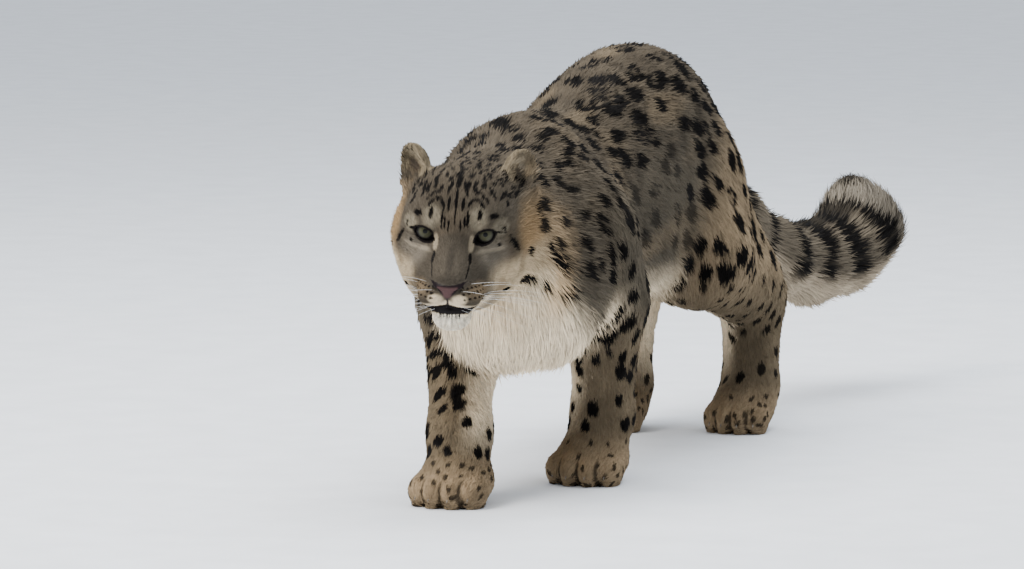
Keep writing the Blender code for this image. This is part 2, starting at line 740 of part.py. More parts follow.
def cheek_locks(seed):
    """Two rows on each cheek, from under the ear round to the throat, that lie back and out."""
    draw = random.Random(seed)
    found = []
    for side in (1, -1):
        for row, (forward, count) in enumerate(((0.004, 6), (-0.024, 6))):
            for i in range(count):
                angle = math.radians(18 - 92 * (i + 0.5 * row) / (count - 0.5))
                out = rows(math.cos(angle) * side, 0, math.sin(angle))
                root = rows(0.030 * side, forward, -0.030) + out * 0.055
                lie = rows(0, -1.0, 0) + 0.25 * out + rows(0, 0, -0.35)
                length = CHEEK_LOCK * draw.uniform(0.9, 1.1)
                found.append((from_head(root), HEAD_AXES @ lie, length, 0.034, CHEEK_COAT, 0.060))
    return found


def chest_locks(seed):
    """Rows down the throat and chest, that hang down and a little back."""
    draw = random.Random(seed)
    found = []
    for row, height in enumerate((0.335, 0.300, 0.262, 0.226)):
        count = 4 if row < 2 else 5
        for i in range(count):
            x = 0.030 + 0.042 * (i - (count - 1) / 2 + 0.3 * (row % 2)) + draw.uniform(-0.003, 0.003)
            root = rows(x, -0.52 + 0.05 * (row > 2), height)
            lie = rows(0.5 * (x - 0.03), 0.10, -1.0)
            length = CHEST_LOCK * draw.uniform(0.9, 1.1)
            found.append((root, lie, length, 0.054, CHEST_COAT * draw.uniform(0.9, 1.05), 0.100))
    return found


def belly_locks(first_y, last_y, count, seed):
    """A row along each side of the belly, that hangs down and in."""
    draw = random.Random(seed)
    found = []
    for i in range(count):
        y = first_y + (last_y - first_y) * i / max(count - 1, 1)
        for side in (1, -1):
            root = rows(SPINE_X + 0.105 * side, y, 0.262)
            lie = rows(-0.45 * side, 0.12 * draw.uniform(-1, 1), -1.0)
            length = BELLY_LOCK * draw.uniform(0.9, 1.05)
            found.append((root, lie, length, 0.052, 0.8 * BELLY_COAT, 0.200))
    return found


TAIL_LOCK = 0.106
CHEEK_LOCK = 0.046
CHEST_LOCK = 0.066
BELLY_LOCK = 0.062


def coat_of(name):
    """The locks that grow from a part."""
    if name == "head":
        return cheek_locks(seed=11)
    if name == "neck":
        return chest_locks(seed=12)
    if name == "chest":
        return belly_locks(-0.150, -0.115, 2, seed=13)
    if name == "loin":
        return belly_locks(-0.062, 0.042, 3, seed=14)
    if name == "tail_root":
        return tail_locks(0.19, 0.30, 2, 5, seed=15)
    if name == "tail_middle":
        return tail_locks(0.385, 0.640, 4, 6, seed=16)
    if name == "tail_tip":
        return tail_locks(0.715, 0.960, 4, 6, seed=18)
    return []


# Eyes


def ball_object(name, centre, radius, segments=16, rings=10):
    mesh = bpy.data.meshes.new(name)
    bm = bmesh.new()
    bmesh.ops.create_uvsphere(bm, u_segments=segments, v_segments=rings, radius=radius)
    bm.to_mesh(mesh)
    bm.free()
    obj = bpy.data.objects.new(name, mesh)
    mesh.transform(Matrix(HEAD_AXES.tolist()).to_4x4())
    mesh.transform(Matrix.Translation(Vector(centre)))
    if np.linalg.det(HEAD_AXES) < 0:
        mesh.flip_normals()
    bpy.context.scene.collection.objects.link(obj)
    return obj


def eye_centre(side):
    return from_head((EYE_AT[0] * side, EYE_AT[1], EYE_AT[2]))


def make_eyes(head):
    sockets = [ball_object("socket", eye_centre(side), EYE_RADIUS + GAP) for side in (1, -1)]
    combine(head, sockets, "DIFFERENCE")
    keep_largest(head)
    return {name: ball_object(name, eye_centre(side), EYE_RADIUS) for name, side in EYES}


EYES = (("eye_left", 1), ("eye_right", -1))


# Materials and the whole model

COLOURS = {
    "ear": ((0.36, 0.33, 0.29), 0.85), "nose": ((0.36, 0.20, 0.19), 0.45), "eye": ((0.30, 0.33, 0.27), 0.12),
    "head": ((0.38, 0.35, 0.30), 0.85), "neck": ((0.66, 0.60, 0.50), 0.90), "chest": ((0.40, 0.38, 0.34), 0.88),
    "loin": ((0.36, 0.34, 0.31), 0.88), "hips": ((0.38, 0.34, 0.28), 0.88), "upper": ((0.42, 0.37, 0.31), 0.88),
    "lower": ((0.48, 0.43, 0.36), 0.88), "paw": ((0.50, 0.43, 0.34), 0.85), "tail": ((0.46, 0.43, 0.38), 0.92),
}                                 # colour and roughness, by the first word of the name


def paint(obj, kind):
    colour, roughness = COLOURS[kind]
    material = bpy.data.materials.new(f"{obj.name}_finish")
    material.use_nodes = True
    shader = material.node_tree.nodes["Principled BSDF"]
    shader.inputs["Base Color"].default_value = (*colour, 1.0)
    shader.inputs["Roughness"].default_value = roughness
    shader.inputs["Metallic"].default_value = 0.0
    obj.data.materials.clear()
    obj.data.materials.append(material)
    obj.data.shade_smooth()
    obj.data.set_sharp_from_angle(angle=math.radians(50))


def put_on_origin(objects):
    """Moves the model so that the middle of its box is over the origin."""
    points = np.array([v.co for obj in objects for v in obj.data.vertices])
    middle = (points.min(0) + points.max(0)) / 2
    for obj in objects:
        obj.data.transform(Matrix.Translation((-middle[0], -middle[1], 0)))


def main():
    clear_scene()
    nodes, taken = {}, []
    for name, region in body_regions().items():
        nodes[name] = flesh(name, region, *DETAIL[name.split("_")[0]], grow(coat_of(name)), taken)
        taken.append(region)
    nodes |= make_eyes(nodes["head"])
    for name, obj in nodes.items():
        paint(obj, name.split("_")[0])
    put_on_origin(nodes.values())


main()
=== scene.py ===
"""Looks of the snow leopard: skin, coat, eyes, claws and whiskers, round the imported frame.

The skin is the zero surface of the rounded masses that shaped the frame's solids, taken in by the depth
of the coat. The coat is solid tufts that are rooted on the skin, lie the way the fur runs, and end at the
solids' outline. Lengths are in metres and angles in degrees. Places are given in the body's own axes, in
which it faces -Y, its left is +X and the floor is z = 0. They are moved onto the frame as meshes are made.
"""

import itertools
import math

import bpy
import numpy as np
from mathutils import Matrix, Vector


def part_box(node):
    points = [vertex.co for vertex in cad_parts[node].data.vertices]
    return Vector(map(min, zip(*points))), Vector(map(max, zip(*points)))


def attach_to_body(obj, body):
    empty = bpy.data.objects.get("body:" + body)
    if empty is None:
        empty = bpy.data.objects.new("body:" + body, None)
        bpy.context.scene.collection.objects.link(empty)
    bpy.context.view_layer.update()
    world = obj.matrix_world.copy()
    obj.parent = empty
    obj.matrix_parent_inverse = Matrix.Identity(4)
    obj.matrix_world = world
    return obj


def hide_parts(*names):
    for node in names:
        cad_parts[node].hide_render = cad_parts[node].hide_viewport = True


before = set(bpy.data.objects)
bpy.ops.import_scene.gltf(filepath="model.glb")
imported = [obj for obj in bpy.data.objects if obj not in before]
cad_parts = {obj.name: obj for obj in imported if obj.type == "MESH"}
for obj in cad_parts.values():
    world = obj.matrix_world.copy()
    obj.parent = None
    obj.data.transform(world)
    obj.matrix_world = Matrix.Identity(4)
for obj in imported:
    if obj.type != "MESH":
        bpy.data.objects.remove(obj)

# Long coat: from the core that stands for flesh and underfur, out to the tips of the locks
TAIL_SHARE = 0.36                 # of the tail's radius
CHEEK_COAT = 0.013
CHEST_COAT = 0.018
BELLY_COAT = 0.022

# Head: its centre, and how far it is turned, in degrees
HEAD_AT = (0.010, -0.555, 0.376)
HEAD_YAW = 13.2
HEAD_PITCH = 16.9
HEAD_ROLL = -2.8
EYE_AT = (0.0380, 0.0550, 0.0080)  # in the head's own left, forward and up
EYE_RADIUS = 0.0160
EYE_TILT = 24.0                   # degrees: how much higher the outer corner is
LID = 0.0022                      # thickness of the lids
EAR_AT = (0.0635, -0.0420, 0.0425)


def rows(*values):
    return np.array(values, float)


# Field of the body: rounded masses and how they join


def egg(p, centre, radii, turn=None):
    """Distance to an ellipsoid, nearly. The columns of turn are its own axes."""
    q = p - np.asarray(centre, float)
    if turn is not None:
        q = q @ turn
    r = np.asarray(radii, float)
    near = np.linalg.norm(q / r, axis=-1)
    far = np.linalg.norm(q / (r * r), axis=-1)
    return near * (near - 1.0) / np.maximum(far, 1e-9)


def limb(p, a, b, radius_a, radius_b):
    """Distance to a cone from a to b with round ends."""
    a = np.asarray(a, float)
    along = np.asarray(b, float) - a
    t = np.clip(((p - a) @ along) / (along @ along), 0.0, 1.0)
    off = p - a - t[..., None] * along
    return np.linalg.norm(off, axis=-1) - (radius_a + (radius_b - radius_a) * t)


def join(d, e, soft):
    """Both masses, with a fillet of about the size soft."""
    h = np.maximum(soft - np.abs(d - e), 0.0) / soft
    return np.minimum(d, e) - h * h * soft * 0.25


def carve(d, e, soft):
    """The first mass with the second taken out."""
    return -join(-d, e, soft)


def chain(p, stations, soft):
    """Limbs from station to station, each station a point and a radius."""
    d = None
    for (a, radius_a), (b, radius_b) in zip(stations, stations[1:]):
        e = limb(p, a, b, radius_a, radius_b)
        d = e if d is None else join(d, e, soft)
    return d


def mirrored(p, middle=0.0):
    """The points folded to the left side, so that one mass stands for two."""
    return np.stack([np.abs(p[..., 0] - middle), p[..., 1], p[..., 2]], -1)


def tilt_sideways(degrees):
    c, s = math.cos(math.radians(degrees)), math.sin(math.radians(degrees))
    return rows((c, 0, s), (0, 1, 0), (-s, 0, c))


def head_axes():
    """Columns: the head's left, forward and up in the body's axes."""
    yaw, pitch, roll = (math.radians(v) for v in (HEAD_YAW, HEAD_PITCH, HEAD_ROLL))
    forward = rows(
        math.sin(yaw) * math.cos(pitch), -math.cos(yaw) * math.cos(pitch), -math.sin(pitch)
    )
    left = rows(math.cos(yaw), math.sin(yaw), 0.0)
    up = np.cross(forward, left)
    rolled_left = left * math.cos(roll) + up * math.sin(roll)
    rolled_up = up * math.cos(roll) - left * math.sin(roll)
    return np.stack([rolled_left, forward, rolled_up], 1)


HEAD_AXES = head_axes()


def to_head(p):
    return (p - np.asarray(HEAD_AT)) @ HEAD_AXES


def from_head(q):
    return np.asarray(HEAD_AT) + np.asarray(q, float) @ HEAD_AXES.T


def ear_axes():
    up = rows(0.20, -0.06, 1.0)
    up /= np.linalg.norm(up)
    forward = rows(0.40, 1.0, 0.0)
    forward -= up * (forward @ up)
    forward /= np.linalg.norm(forward)
    return np.stack([np.cross(forward, up), forward, up], 1)


EAR_AXES = ear_axes()


def ear_field(m):
    """The rounded cup of an ear, in the head's folded space."""
    q = (m - np.asarray(EAR_AT)) @ EAR_AXES
    shell = egg(q, (0, 0, 0.010), (0.0215, 0.0155, 0.0320))
    shell = join(shell, egg(q, (-0.002, 0.002, -0.012), (0.0240, 0.0190, 0.0260)), 0.010)
    cup = egg(q, (0.001, 0.0150, 0.011), (0.0160, 0.0170, 0.0240))
    return carve(shell, cup, 0.004)


# Masses of the face in the head's folded space: centre, radii, fillet, and depth of long coat
SKULL = ((0, -0.012, 0.008), (0.070, 0.080, 0.058))
FACE_MASSES = (
    ((0, 0.020, 0.004), (0.055, 0.045, 0.052), 0.03, 0),           # forehead
    ((0.044, 0.028, -0.022), (0.036, 0.038, 0.034), 0.025, 0),     # cheekbone
    ((0.054, -0.028, -0.034), (0.042, 0.050, 0.056), 0.035, CHEEK_COAT),
    ((0.036, 0.022, -0.062), (0.034, 0.046, 0.034), 0.03, 0),      # side of the jaw
    ((0, 0.040, -0.072), (0.040, 0.052, 0.030), 0.03, 0),          # throat
    ((0, 0.088, -0.046), (0.035, 0.044, 0.027), 0.022, 0),         # muzzle
    ((0.028, 0.066, -0.038), (0.025, 0.038, 0.028), 0.022, 0),
    ((0.0185, 0.110, -0.055), (0.0215, 0.0235, 0.0175), 0.012, 0), # whisker pad
)
CHIN_AND_BROW = (
    ((0, 0.088, -0.092), (0.0250, 0.0280, 0.0175), 0.012, 0),
    ((0.037, 0.040, 0.021), (0.026, 0.022, 0.014), 0.025, 0),
)
BRIDGE_WIDTH = 1.7                # of the nose's bridge, for a height of 1


def heaped(d, p, masses, bare=0):
    """The mass with ellipsoids joined to it, one after the other."""
    for centre, radii, soft, coat in masses:
        d = join(d, egg(p, centre, rows(*radii) - bare * coat), soft)
    return d


def face_field(m, bare):
    """Skull, cheeks, muzzle and jaw, in the head's folded space."""
    d = heaped(egg(m, *SKULL), m, FACE_MASSES, bare)
    bridge = m / rows(BRIDGE_WIDTH, 1.0, 1.0)
    d = join(d, limb(bridge, (0, 0.038, 0.020), (0, 0.116, -0.029), 0.0150, 0.0115), 0.014)
    return heaped(d, m, CHIN_AND_BROW)


# Ellipsoids over and under the eye: the lids open where both are
LID_ARCS = (((0, 0, -0.0040), (0.0135, 0.0200, 0.0105)), ((0, 0, 0.0035), (0.0130, 0.0200, 0.0100)))


def opening_at(m):
    """Distance to the almond between the lids, whose outer corner is the higher, negative inside it."""
    front = rows(*EYE_AT) + rows(0, EYE_RADIUS, 0)
    q = (m - front) @ tilt_sideways(-EYE_TILT)
    return np.maximum(*[egg(q, *arc) for arc in LID_ARCS])


def lids_field(m, d):
    """The face with a mound round each eye, opened between the lids."""
    mound = np.linalg.norm(m - np.asarray(EYE_AT), axis=-1) - EYE_RADIUS - LID
    return carve(join(d, mound, 0.012), opening_at(m), 0.0015)


# Furrows and rolls of the muzzle in the head's folded space, as points and radii
NOSE_PAD = (
    ((0, 0.1265, -0.0370), (0.0185, 0.0100, 0.0080)), ((0, 0.1265, -0.0465), (0.0090, 0.0090, 0.0080)),
)
LOWER_LIP = (
    ((0, 0.1090, -0.0775), 0.0055), ((0.018, 0.1040, -0.0795), 0.0055), ((0.031, 0.0860, -0.0770), 0.0040),
)
MOUTH = (
    ((0, 0.1215, -0.0660), 0.0018), ((0.013, 0.1190, -0.0715), 0.0022), ((0.027, 0.1030, -0.0735), 0.0022),
    ((0.0365, 0.0820, -0.0710), 0.0014),
)
CLEFT = (((0, 0.1365, -0.0530), 0.0012), ((0, 0.1270, -0.0670), 0.0016))
NOSTRIL = (((0.0075, 0.1375, -0.0425), 0.0030), ((0.0165, 0.1275, -0.0395), 0.0016))


def nose_and_mouth_field(m, d):
    """The face with its nose leather, lower lip, mouth line, cleft and nostrils."""
    d = join(d, join(egg(m, *NOSE_PAD[0]), egg(m, *NOSE_PAD[1]), 0.006), 0.004)
    d = join(d, chain(m, LOWER_LIP, 0.004), 0.004)
    d = carve(d, chain(m, MOUTH, 0.002), 0.003)
    d = carve(d, chain(m, CLEFT, 0.002), 0.002)
    return carve(d, chain(m, NOSTRIL, 0.002), 0.002)


def head_field(p, bare=0):
    m = mirrored(to_head(p))
    d = nose_and_mouth_field(m, lids_field(m, face_field(m, bare)))
    return join(d, ear_field(m), 0.012)


SPINE_X = -0.008                  # the walking body's middle, a little off the frame's
BACK_COAT = 0.006


def torso_field(p, bare=0):
    m = mirrored(p, SPINE_X)
    d = egg(m, (0, -0.27, 0.310), rows(0.112, 0.165, 0.140) - bare * rows(0, 0, 0.4) * BELLY_COAT)
    d = join(d, egg(m, (0, -0.270, 0.402), (0.056, 0.140, 0.092)), 0.05)
    d = join(d, egg(m, (0.068, -0.290, 0.350), (0.046, 0.088, 0.112), tilt_sideways(-16)), 0.04)
    barrel = (0.114, 0.27, 0.135 - bare * BACK_COAT)
    d = join(d, egg(m, (0, -0.03, 0.362 + bare * BACK_COAT), barrel), 0.06)
    d = join(d, egg(m, (0, 0.035, 0.435), (0.088, 0.20, 0.110)), 0.05)
    d = join(d, egg(m, (0, 0.135, 0.430), (0.108, 0.165, 0.126)), 0.05)
    belly = rows(0.086, 0.25, 0.065) - bare * rows(0.3, 0, 1) * BELLY_COAT
    return join(d, egg(m, (0, 0.04, 0.285 + bare * 0.3 * BELLY_COAT), belly), 0.06)


def neck_field(p, bare=0):
    line = [((0, -0.34, 0.380), 0.096), ((0.009, -0.45, 0.370), 0.077), ((0.013, -0.53, 0.372), 0.066)]
    d = chain(p, line, 0.04)
    d = join(d, egg(p, (0.018, -0.405, 0.282), rows(0.102, 0.105, 0.115) - bare * CHEST_COAT), 0.05)
    return join(d, egg(p, (0.066, -0.370, 0.270), rows(0.062, 0.080, 0.095) - bare * CHEST_COAT), 0.04)


# Legs: stations from the body to the paw. Front legs bend at the elbow, hind legs at knee and hock.
LEGS = {
    "front_right": dict(
        side=-1, front=True, top=(-0.084, -0.30, 0.34), top_r=0.064, knee=(-0.080, -0.325, 0.245),
        knee_r=0.053, ankle=(-0.045, -0.425, 0.085), ankle_r=0.037, paw=(-0.037, -0.455, 0.0),
    ),
    "front_left": dict(
        side=1, front=True, top=(0.080, -0.28, 0.34), top_r=0.062, knee=(0.078, -0.215, 0.245),
        knee_r=0.052, ankle=(0.060, -0.175, 0.085), ankle_r=0.037, paw=(0.055, -0.200, 0.0),
    ),
    "hind_left": dict(
        side=1, front=False, top=(0.048, 0.170, 0.38), top_r=0.078, knee=(0.078, 0.145, 0.275),
        knee_r=0.068, hock=(0.080, 0.385, 0.185), hock_r=0.044, ankle=(0.076, 0.390, 0.060),
        ankle_r=0.038, paw=(0.074, 0.362, 0.0),
    ),
    "hind_right": dict(
        side=-1, front=False, top=(-0.066, 0.155, 0.38), top_r=0.078, knee=(-0.090, 0.115, 0.275),
        knee_r=0.068, hock=(-0.096, 0.350, 0.180), hock_r=0.043, ankle=(-0.097, 0.345, 0.060),
        ankle_r=0.037, paw=(-0.098, 0.315, 0.0),
    ),
}
PAW_CORE = 0.035                  # height of the paw's middle over the floor
SOLE_EDGE = 0.006                 # below this height a paw goes straight down to its flat sole
BELOW_FLOOR = 0.020               # how far the uncut paw reaches under the floor
HIND_PAW = 0.90
FORE_SOLE = 0.034                 # radius of a leg where it ends in the paw
HIND_SOLE = 0.032
HAM = (rows(0, 0.050, -0.03), rows(0, -0.03, 0.045), 0.070, 0.040)  # off hip and hock, with radii
TOES = ((-0.036, 0.030), (-0.013, 0.042), (0.013, 0.042), (0.036, 0.030))


def paw_size(leg):
    """Size of a leg's paw, for a fore paw of 1."""
    return 1.0 if leg["front"] else HIND_PAW


def paw_field(p, leg):
    size = paw_size(leg)
    q = (p - np.asarray(leg["paw"])) * rows(1, -1, 1)
    q[..., 2] = np.maximum(q[..., 2], SOLE_EDGE)
    d = egg(q, (0, 0, 0.030), (0.048 * size, 0.050 * size, 0.036))
    for x, y in TOES:
        toe = egg(q, (x * size, y * size, 0.020), (0.017 * size, 0.026 * size, 0.022))
        d = join(d, toe, 0.010)
    return np.maximum(d, -BELOW_FLOOR - p[..., 2])


def leg_field(p, leg):
    top, knee = np.asarray(leg["top"]), leg["knee"]
    sole_r = FORE_SOLE if leg["front"] else HIND_SOLE
    lower = [(leg["ankle"], leg["ankle_r"]), (np.asarray(leg["paw"]) + rows(0, 0, PAW_CORE), sole_r)]
    if leg["front"]:
        d = chain(p, [(top, leg["top_r"]), (knee, leg["knee_r"])] + lower, 0.03)
        return join(d, paw_field(p, leg), 0.02)
    hock, hock_r = np.asarray(leg["hock"]), leg["hock_r"]
    d = chain(p, [(top, leg["top_r"]), (knee, leg["knee_r"]), (hock, hock_r)], 0.05)
    d = join(d, limb(p, top + HAM[0], hock + HAM[1], *HAM[2:]), 0.05)
    d = join(d, chain(p, [(hock, hock_r)] + lower, 0.02), 0.02)
    return join(d, paw_field(p, leg), 0.02)


TAIL = [
    ((-0.008, 0.25, 0.440), 0.060), ((-0.004, 0.35, 0.375), 0.048), ((0.010, 0.48, 0.287), 0.051),
    ((0.024, 0.62, 0.220), 0.057), ((0.038, 0.76, 0.198), 0.060), ((0.059, 0.862, 0.206), 0.061),
    ((0.076, 0.918, 0.238), 0.058), ((0.066, 0.902, 0.266), 0.051),
]
TAIL_SPOTS = rows(*[spot for spot, _ in TAIL])
REACH = 0.07                      # farther off than any fillet is wide
BOX_SPARE = 0.02


def tail_field(p, bare=0):
    return chain(p, [(spot, radius * (1 - bare * TAIL_SHARE)) for spot, radius in TAIL], 0.035)


def within(box, p, field):
    """The field where it is near enough to its box to matter, and else the distance to the box."""
    d = np.maximum(box[0] - p, p - box[1]).max(-1)
    near = d < REACH
    d[near] = field(p[near])
    return d


def box_round(stations):
    """Low and high corners round points with radii."""
    spots = rows(*[spot for spot, _ in stations])
    radii = rows(*[radius for _, radius in stations])[:, None]
    return (spots - radii).min(0) - BOX_SPARE, (spots + radii).max(0) + BOX_SPARE


def leg_box(leg):
    foot = np.asarray(leg["paw"]) + rows(0, -0.03, 0)
    joints = [(leg["top"], leg["top_r"]), (leg["knee"], leg["knee_r"]), (leg["ankle"], leg["ankle_r"])]
    return box_round(joints + [(leg.get("hock", leg["ankle"]), 0.045), (foot, 0.055)])


TORSO_BOX = (rows(-0.15, -0.47, 0.14), rows(0.14, 0.33, 0.58))
NECK_BOX = (rows(-0.12, -0.63, 0.14), rows(0.15, -0.22, 0.50))
HEAD_BOX = (rows(-0.13, -0.71, 0.21), rows(0.16, -0.43, 0.52))


def body_field(p, bare=0):
    """The whole body: out to the tips of the coat, or bare of its long locks."""
    d = within(TORSO_BOX, p, lambda q: torso_field(q, bare))
    for leg in LEGS.values():
        d = join(d, within(leg_box(leg), p, lambda q: leg_field(q, leg)), 0.04)
    d = join(d, within(NECK_BOX, p, lambda q: neck_field(q, bare)), 0.05)
    d = join(d, within(HEAD_BOX, p, lambda q: head_field(q, bare)), 0.03)
    return join(d, within(box_round(TAIL), p, lambda q: tail_field(q, bare)), 0.035)


# Meshing: each cell of a grid is six tetrahedra, and the surface crosses each as one or two triangles

COARSE = 4                        # cells of the fine grid to one step of the coarse grid
NEAR = 1.8                        # coarse steps from the surface within which the field is exact
EVEN = ((0, 1, 2), (1, 2, 0), (2, 0, 1))
LEAST_SHARE = 0.04                # a corner keeps this share of its grid edge from either end
ONE_INSIDE = ((0, 1, 2, 3), (1, 0, 3, 2), (2, 3, 0, 1), (3, 2, 1, 0))
TWO_INSIDE = ((0, 1, 2, 3), (0, 2, 3, 1), (0, 3, 1, 2), (1, 2, 0, 3), (1, 3, 2, 0), (2, 3, 0, 1))


def sample(field, low, count, cell):
    """The field on a grid: exact near the surface, and rough away from it."""
    coarse_count = [(n - 1) // COARSE + 2 for n in count]
    ticks = [low[i] + cell * COARSE * np.arange(coarse_count[i]) for i in range(3)]
    spots = np.stack(np.meshgrid(*ticks, indexing="ij"), -1)
    rough = field(spots.reshape(-1, 3)).reshape(coarse_count)
    nearest = [(np.arange(n) + COARSE // 2) // COARSE for n in count]
    values = rough[np.ix_(*nearest)].copy()
    near = np.abs(values) < NEAR * COARSE * cell
    values[near] = field(low + np.argwhere(near) * cell)
    return values


def crossed_cells(values):
    """The low corner of each grid cell that has corners on both sides of the surface."""
    inside = values < 0
    count = np.zeros([n - 1 for n in values.shape], int)
    for offset in np.ndindex(2, 2, 2):
        window = tuple(slice(o, o + n) for o, n in zip(offset, count.shape))
        count += inside[window]
    return np.argwhere((count > 0) & (count < 8))


def tetrahedra(values):
    """Grid numbers of the corners of each tetrahedron in the crossed cells, all of one handedness."""
    cells = crossed_cells(values)
    found = []
    for order in itertools.permutations(range(3)):
        corner = np.zeros(3, int)
        walk = [corner.copy()]
        for axis in order:
            corner[axis] = 1
            walk.append(corner.copy())
        if order not in EVEN:
            walk[2], walk[3] = walk[3], walk[2]
        found.append(np.stack([np.ravel_multi_index((cells + w).T, values.shape) for w in walk], 1))
    return np.concatenate(found)


def crossings(corners, inside):
    """Triangles that face out of the body. Each of their corners is a grid edge, as its two ends."""
    held = inside[corners]
    count = held.sum(1)
    triangles = []
    for i, j, k, l in ONE_INSIDE:
        alone_in, alone_out = held[:, i] & (count == 1), ~held[:, i] & (count == 3)
        for pick, ring in ((alone_in, (j, k, l)), (alone_out, (j, l, k))):
            picked = corners[pick]
            triangles.append(np.stack([picked[:, (i, end)] for end in ring], 1))
    for i, j, k, l in TWO_INSIDE:
        picked = corners[held[:, i] & held[:, j] & (count == 2)]
        ring = [picked[:, ends] for ends in ((i, k), (i, l), (j, l), (j, k))]
        triangles.append(np.stack(ring[:3], 1))
        triangles.append(np.stack([ring[0], ring[2], ring[3]], 1))
    return np.sort(np.concatenate(triangles), axis=2)


def surface(field, low, high, cell):
    """Corners and faces of the field's zero surface in a box that holds all of it."""
    low = np.asarray(low, float)
    count = [int(math.ceil(n)) + 1 for n in (np.asarray(high) - low) / cell]
    values = sample(field, low, count, cell)
    flat = values.reshape(-1)
    triangles = crossings(tetrahedra(values), flat < 0)
    ends, faces = np.unique(triangles.reshape(-1, 2), axis=0, return_inverse=True)
    spots = [low + cell * np.stack(np.unravel_index(e, values.shape), -1) for e in ends.T]
    share = flat[ends[:, 0]] / (flat[ends[:, 0]] - flat[ends[:, 1]])
    share = np.clip(share, LEAST_SHARE, 1 - LEAST_SHARE)[:, None]
    return spots[0] * (1 - share) + spots[1] * share, faces.reshape(-1, 3)


# Blender objects


def frame_offset():
    """From the body's own axes to the frame, read from where the frame has the left eye."""
    low, high = (rows(*corner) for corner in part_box("eye_left"))
    return ((low + high) / 2 - from_head(EYE_AT)) * rows(1, 1, 0)


OFFSET = frame_offset()


def mesh_object(name, points, faces, material=None):
    """A mesh moved onto the frame. All its faces have the same number of corners."""
    faces = np.asarray(faces)
    mesh = bpy.data.meshes.new(name)
    mesh.vertices.add(len(points))
    mesh.vertices.foreach_set("co", (np.asarray(points) + OFFSET).astype(np.float32).ravel())
    mesh.loops.add(faces.size)
    mesh.loops.foreach_set("vertex_index", faces.astype(np.int32).ravel())
    mesh.polygons.add(len(faces))
    mesh.polygons.foreach_set("loop_start", np.arange(0, faces.size, faces.shape[1], dtype=np.int32))
    mesh.update(calc_edges=True)
    obj = bpy.data.objects.new(name, mesh)
    bpy.context.scene.collection.objects.link(obj)
    if material:
        mesh.materials.append(material)
    return obj


def applied(obj):
    """The object with its modifiers made part of its mesh."""
    bpy.context.view_layer.update()
    graph = bpy.context.evaluated_depsgraph_get()
    mesh = bpy.data.meshes.new_from_object(obj.evaluated_get(graph))
    obj.modifiers.clear()
    obj.data = mesh
    return obj


def thinned(obj, triangles):
    """The object with about so many triangles, smallest where its surface bends most."""
    step = obj.modifiers.new("thin", "DECIMATE")
    step.ratio = min(1.0, triangles / len(obj.data.polygons))
    return applied(obj)


def united(obj, other):
    """Both closed meshes as one."""
    step = obj.modifiers.new("union", "BOOLEAN")
    step.operation = "UNION"
    step.solver = "MANIFOLD"
    step.object = other
    applied(obj)
    bpy.data.objects.remove(other, do_unlink=True)
    return obj


def paint_points(obj, colours):
    """Stores a colour for each vertex, which the material reads."""
    layer = obj.data.color_attributes.new("marks", "FLOAT_COLOR", "POINT")
    rgba = np.ones((len(colours), 4), np.float32)
    rgba[:, :3] = colours
    layer.data.foreach_set("color", rgba.ravel())


def attach(obj):
    """Makes a piece ride on the frame."""
    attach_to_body(obj, "root")
    return obj


# Materials

RELIEF_DETAIL = 4.0
HAIR_RELIEF = (900.0, 0.35, 0.0006)  # scale, strength and depth, as for the next two
HORN_RELIEF = (400.0, 0.2, 0.0002)
FLOOR_RELIEF = (12.0, 0.05, 0.001)
HAIR_TONES = (0.78, 1.22)
DRY = 0.85                        # roughness of fur
MOIST = 0.34                      # and of nose, lips and lids
FIBRE_SCALE = 9.0
FIBRE_DETAIL = 3.0
FIBRE_TONES = (0.75, 1.25)
WHISKER_TONES = ((0.35, (0.62, 0.60, 0.56)), (0.65, (0.88, 0.86, 0.82)))
CLAW_TONES = ((0.35, (0.10, 0.085, 0.07)), (0.65, (0.30, 0.26, 0.21)))
FLOOR_TONES = ((0.3, (0.74, 0.76, 0.79)), (0.7, (0.80, 0.82, 0.85)))
IRIS_STOPS = (
    (0.0, (0.003, 0.003, 0.003)), (0.080, (0.003, 0.003, 0.003)), (0.095, (0.036, 0.035, 0.018)),
    (0.200, (0.052, 0.050, 0.030)), (0.265, (0.030, 0.028, 0.020)), (0.295, (0.006, 0.005, 0.005)),
)


def shader_of(name):
    """A new material with its nodes and links."""
    material = bpy.data.materials.new(name)
    material.use_nodes = True
    return material, material.node_tree.nodes, material.node_tree.links


def add_bump(nodes, links, shader, scale, strength, depth):
    """Fine relief from noise in the piece's own space."""
    place = nodes.new("ShaderNodeTexCoord")
    noise = nodes.new("ShaderNodeTexNoise")
    noise.inputs["Scale"].default_value = scale
    noise.inputs["Detail"].default_value = RELIEF_DETAIL
    bump = nodes.new("ShaderNodeBump")
    bump.inputs["Strength"].default_value = strength
    bump.inputs["Distance"].default_value = depth
    links.new(place.outputs["Object"], noise.inputs["Vector"])
    links.new(noise.outputs["Fac"], bump.inputs["Height"])
    links.new(bump.outputs["Normal"], shader.inputs["Normal"])
    return noise


def stretched(nodes, links, source, low, high):
    """A value from 0 to 1 taken to the range from low to high."""
    node = nodes.new("ShaderNodeMapRange")
    node.inputs["To Min"].default_value = low
    node.inputs["To Max"].default_value = high
    links.new(source, node.inputs["Value"])
    return node.outputs["Result"]


def vector_math(nodes, links, operation, *sources):
    """A node for one operation on vectors, fed by these sockets."""
    node = nodes.new("ShaderNodeVectorMath")
    node.operation = operation
    for source, socket in zip(sources, node.inputs):
        links.new(source, socket)
    return node


def attribute(nodes, name):
    node = nodes.new("ShaderNodeAttribute")
    node.attribute_name = name
    return node


